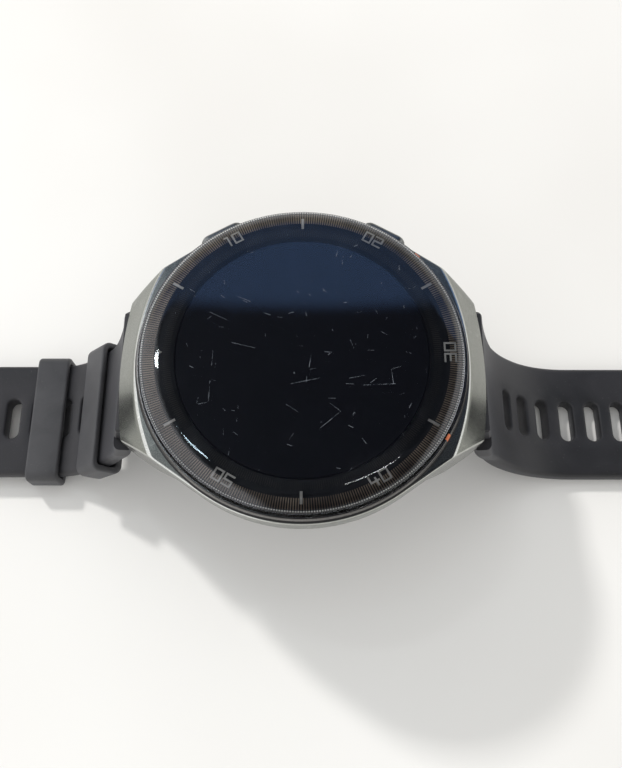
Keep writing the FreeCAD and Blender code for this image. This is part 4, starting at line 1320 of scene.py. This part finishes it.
def areaLight(name, look):
    # faces the watch, with its own width level along X
    data = bpy.data.lights.new(name, "AREA")
    data.shape = "RECTANGLE"
    data.size, data.size_y = (side * mm for side in look["size"])
    data.energy = look["power"]
    data.color = look["colour"]
    light = bpy.data.objects.new(name, data)
    light.location = Vector(look["place"]) * mm
    back = Vector(look["place"]).normalized()
    across = (Vector((1, 0, 0)) - back * back.x).normalized()
    light.rotation_mode = "QUATERNION"
    light.rotation_quaternion = Matrix((across, back.cross(across), back)).transposed().to_quaternion()
    # the small lights are the highlights on the glass, so the large one stays out of it
    light.visible_glossy = name != "keyWindow"
    scene.collection.objects.link(light)


room = {
    "overhead": (0.031, 0.032, 0.045, 1), "window": (0.19, 0.315, 0.60, 1), "farWall": (0.46, 0.44, 0.40, 1),
    "lowWall": (1.0, 0.99, 0.96, 1), "leftPanel": (1.7, 1.7, 1.74, 1), "rightPanel": (1.5, 1.5, 1.5, 1),
    # where each part of the room begins and is full, as the mirrored direction's X, Y or Z
    "windowEdge": (0.428, 0.450), "farEdge": (0.60, 0.75), "lowEdge": (0.55, 0.25),
    "leftEdge": (-0.22, -0.40), "rightEdge": (0.72, 0.90), "leftFade": (0.62, 0.42),
    "ambient": (0.86, 0.86, 0.85, 1),
}


def makeSky():
    # what gloss mirrors: dark overhead, a blue window towards 3 o'clock, pale walls and panels;
    # everything else is lit by an even pale room
    world = bpy.data.worlds.new("room")
    world.use_nodes = True
    scene.world = world
    f = Finish("room", world.node_tree)
    direction = f.add("ShaderNodeTexCoord", out=0)
    x, y, z = (f.add("ShaderNodeSeparateXYZ", None, {0: direction}, out=k) for k in range(3))
    mirrored = f.mix(y.between(*room["windowEdge"]), room["overhead"], room["window"])
    mirrored = f.mix(y.between(*room["farEdge"]), mirrored, room["farWall"])
    mirrored = f.mix(z.between(*room["lowEdge"]), mirrored, room["lowWall"])
    mirrored = f.mix(x.between(*room["leftEdge"]) * y.between(*room["leftFade"]), mirrored, room["leftPanel"])
    mirrored = f.mix(x.between(*room["rightEdge"]), mirrored, room["rightPanel"])
    inGloss = f.add("ShaderNodeLightPath", out=3)
    colour = f.mix(inGloss, room["ambient"], mirrored)
    back = f.add("ShaderNodeBackground", None, {"Color": colour, "Strength": 1.0})
    f.add("ShaderNodeOutputWorld", None, {"Surface": back})


def makeCamera():
    data = bpy.data.cameras.new("studioCamera")
    data.lens, data.sensor_width = studio["lens"], studio["sensor"]
    data.sensor_fit = "AUTO"
    data.clip_start, data.clip_end = studio["clip"]
    camera = bpy.data.objects.new("studioCamera", data)
    a, tilt, roll = (math.radians(t) for t in studio["turns"])
    turn = Matrix.Rotation(a, 4, "Z") @ Matrix.Rotation(tilt, 4, "X") @ Matrix.Rotation(roll, 4, "Z")
    camera.matrix_world = Matrix.Translation(Vector(studio["place"]) * mm) @ turn
    scene.collection.objects.link(camera)
    scene.camera = camera


def makeStudio():
    makeCamera()
    makeFloor()
    makeSky()
    for name, look in lights.items():
        areaLight(name, look)


makeStudio()
print("studio made:", len(lights), "lights")
makeCase()
print("case made")
makeBezel()
makeGlass()
makeDisplay()
makeScale()
makeWear()
print("dial made")
makeStrapHalf("long")
makeStrapHalf("short")
makeKeepers()
print("strap made")
makeRear()
for node, finish, body, slot, edge in easedPieces:
    easedCopy(node, finish, body, slot, edge)
dressNodes()
print("back, buttons and buckle made")

scene.view_settings.view_transform = "Standard"
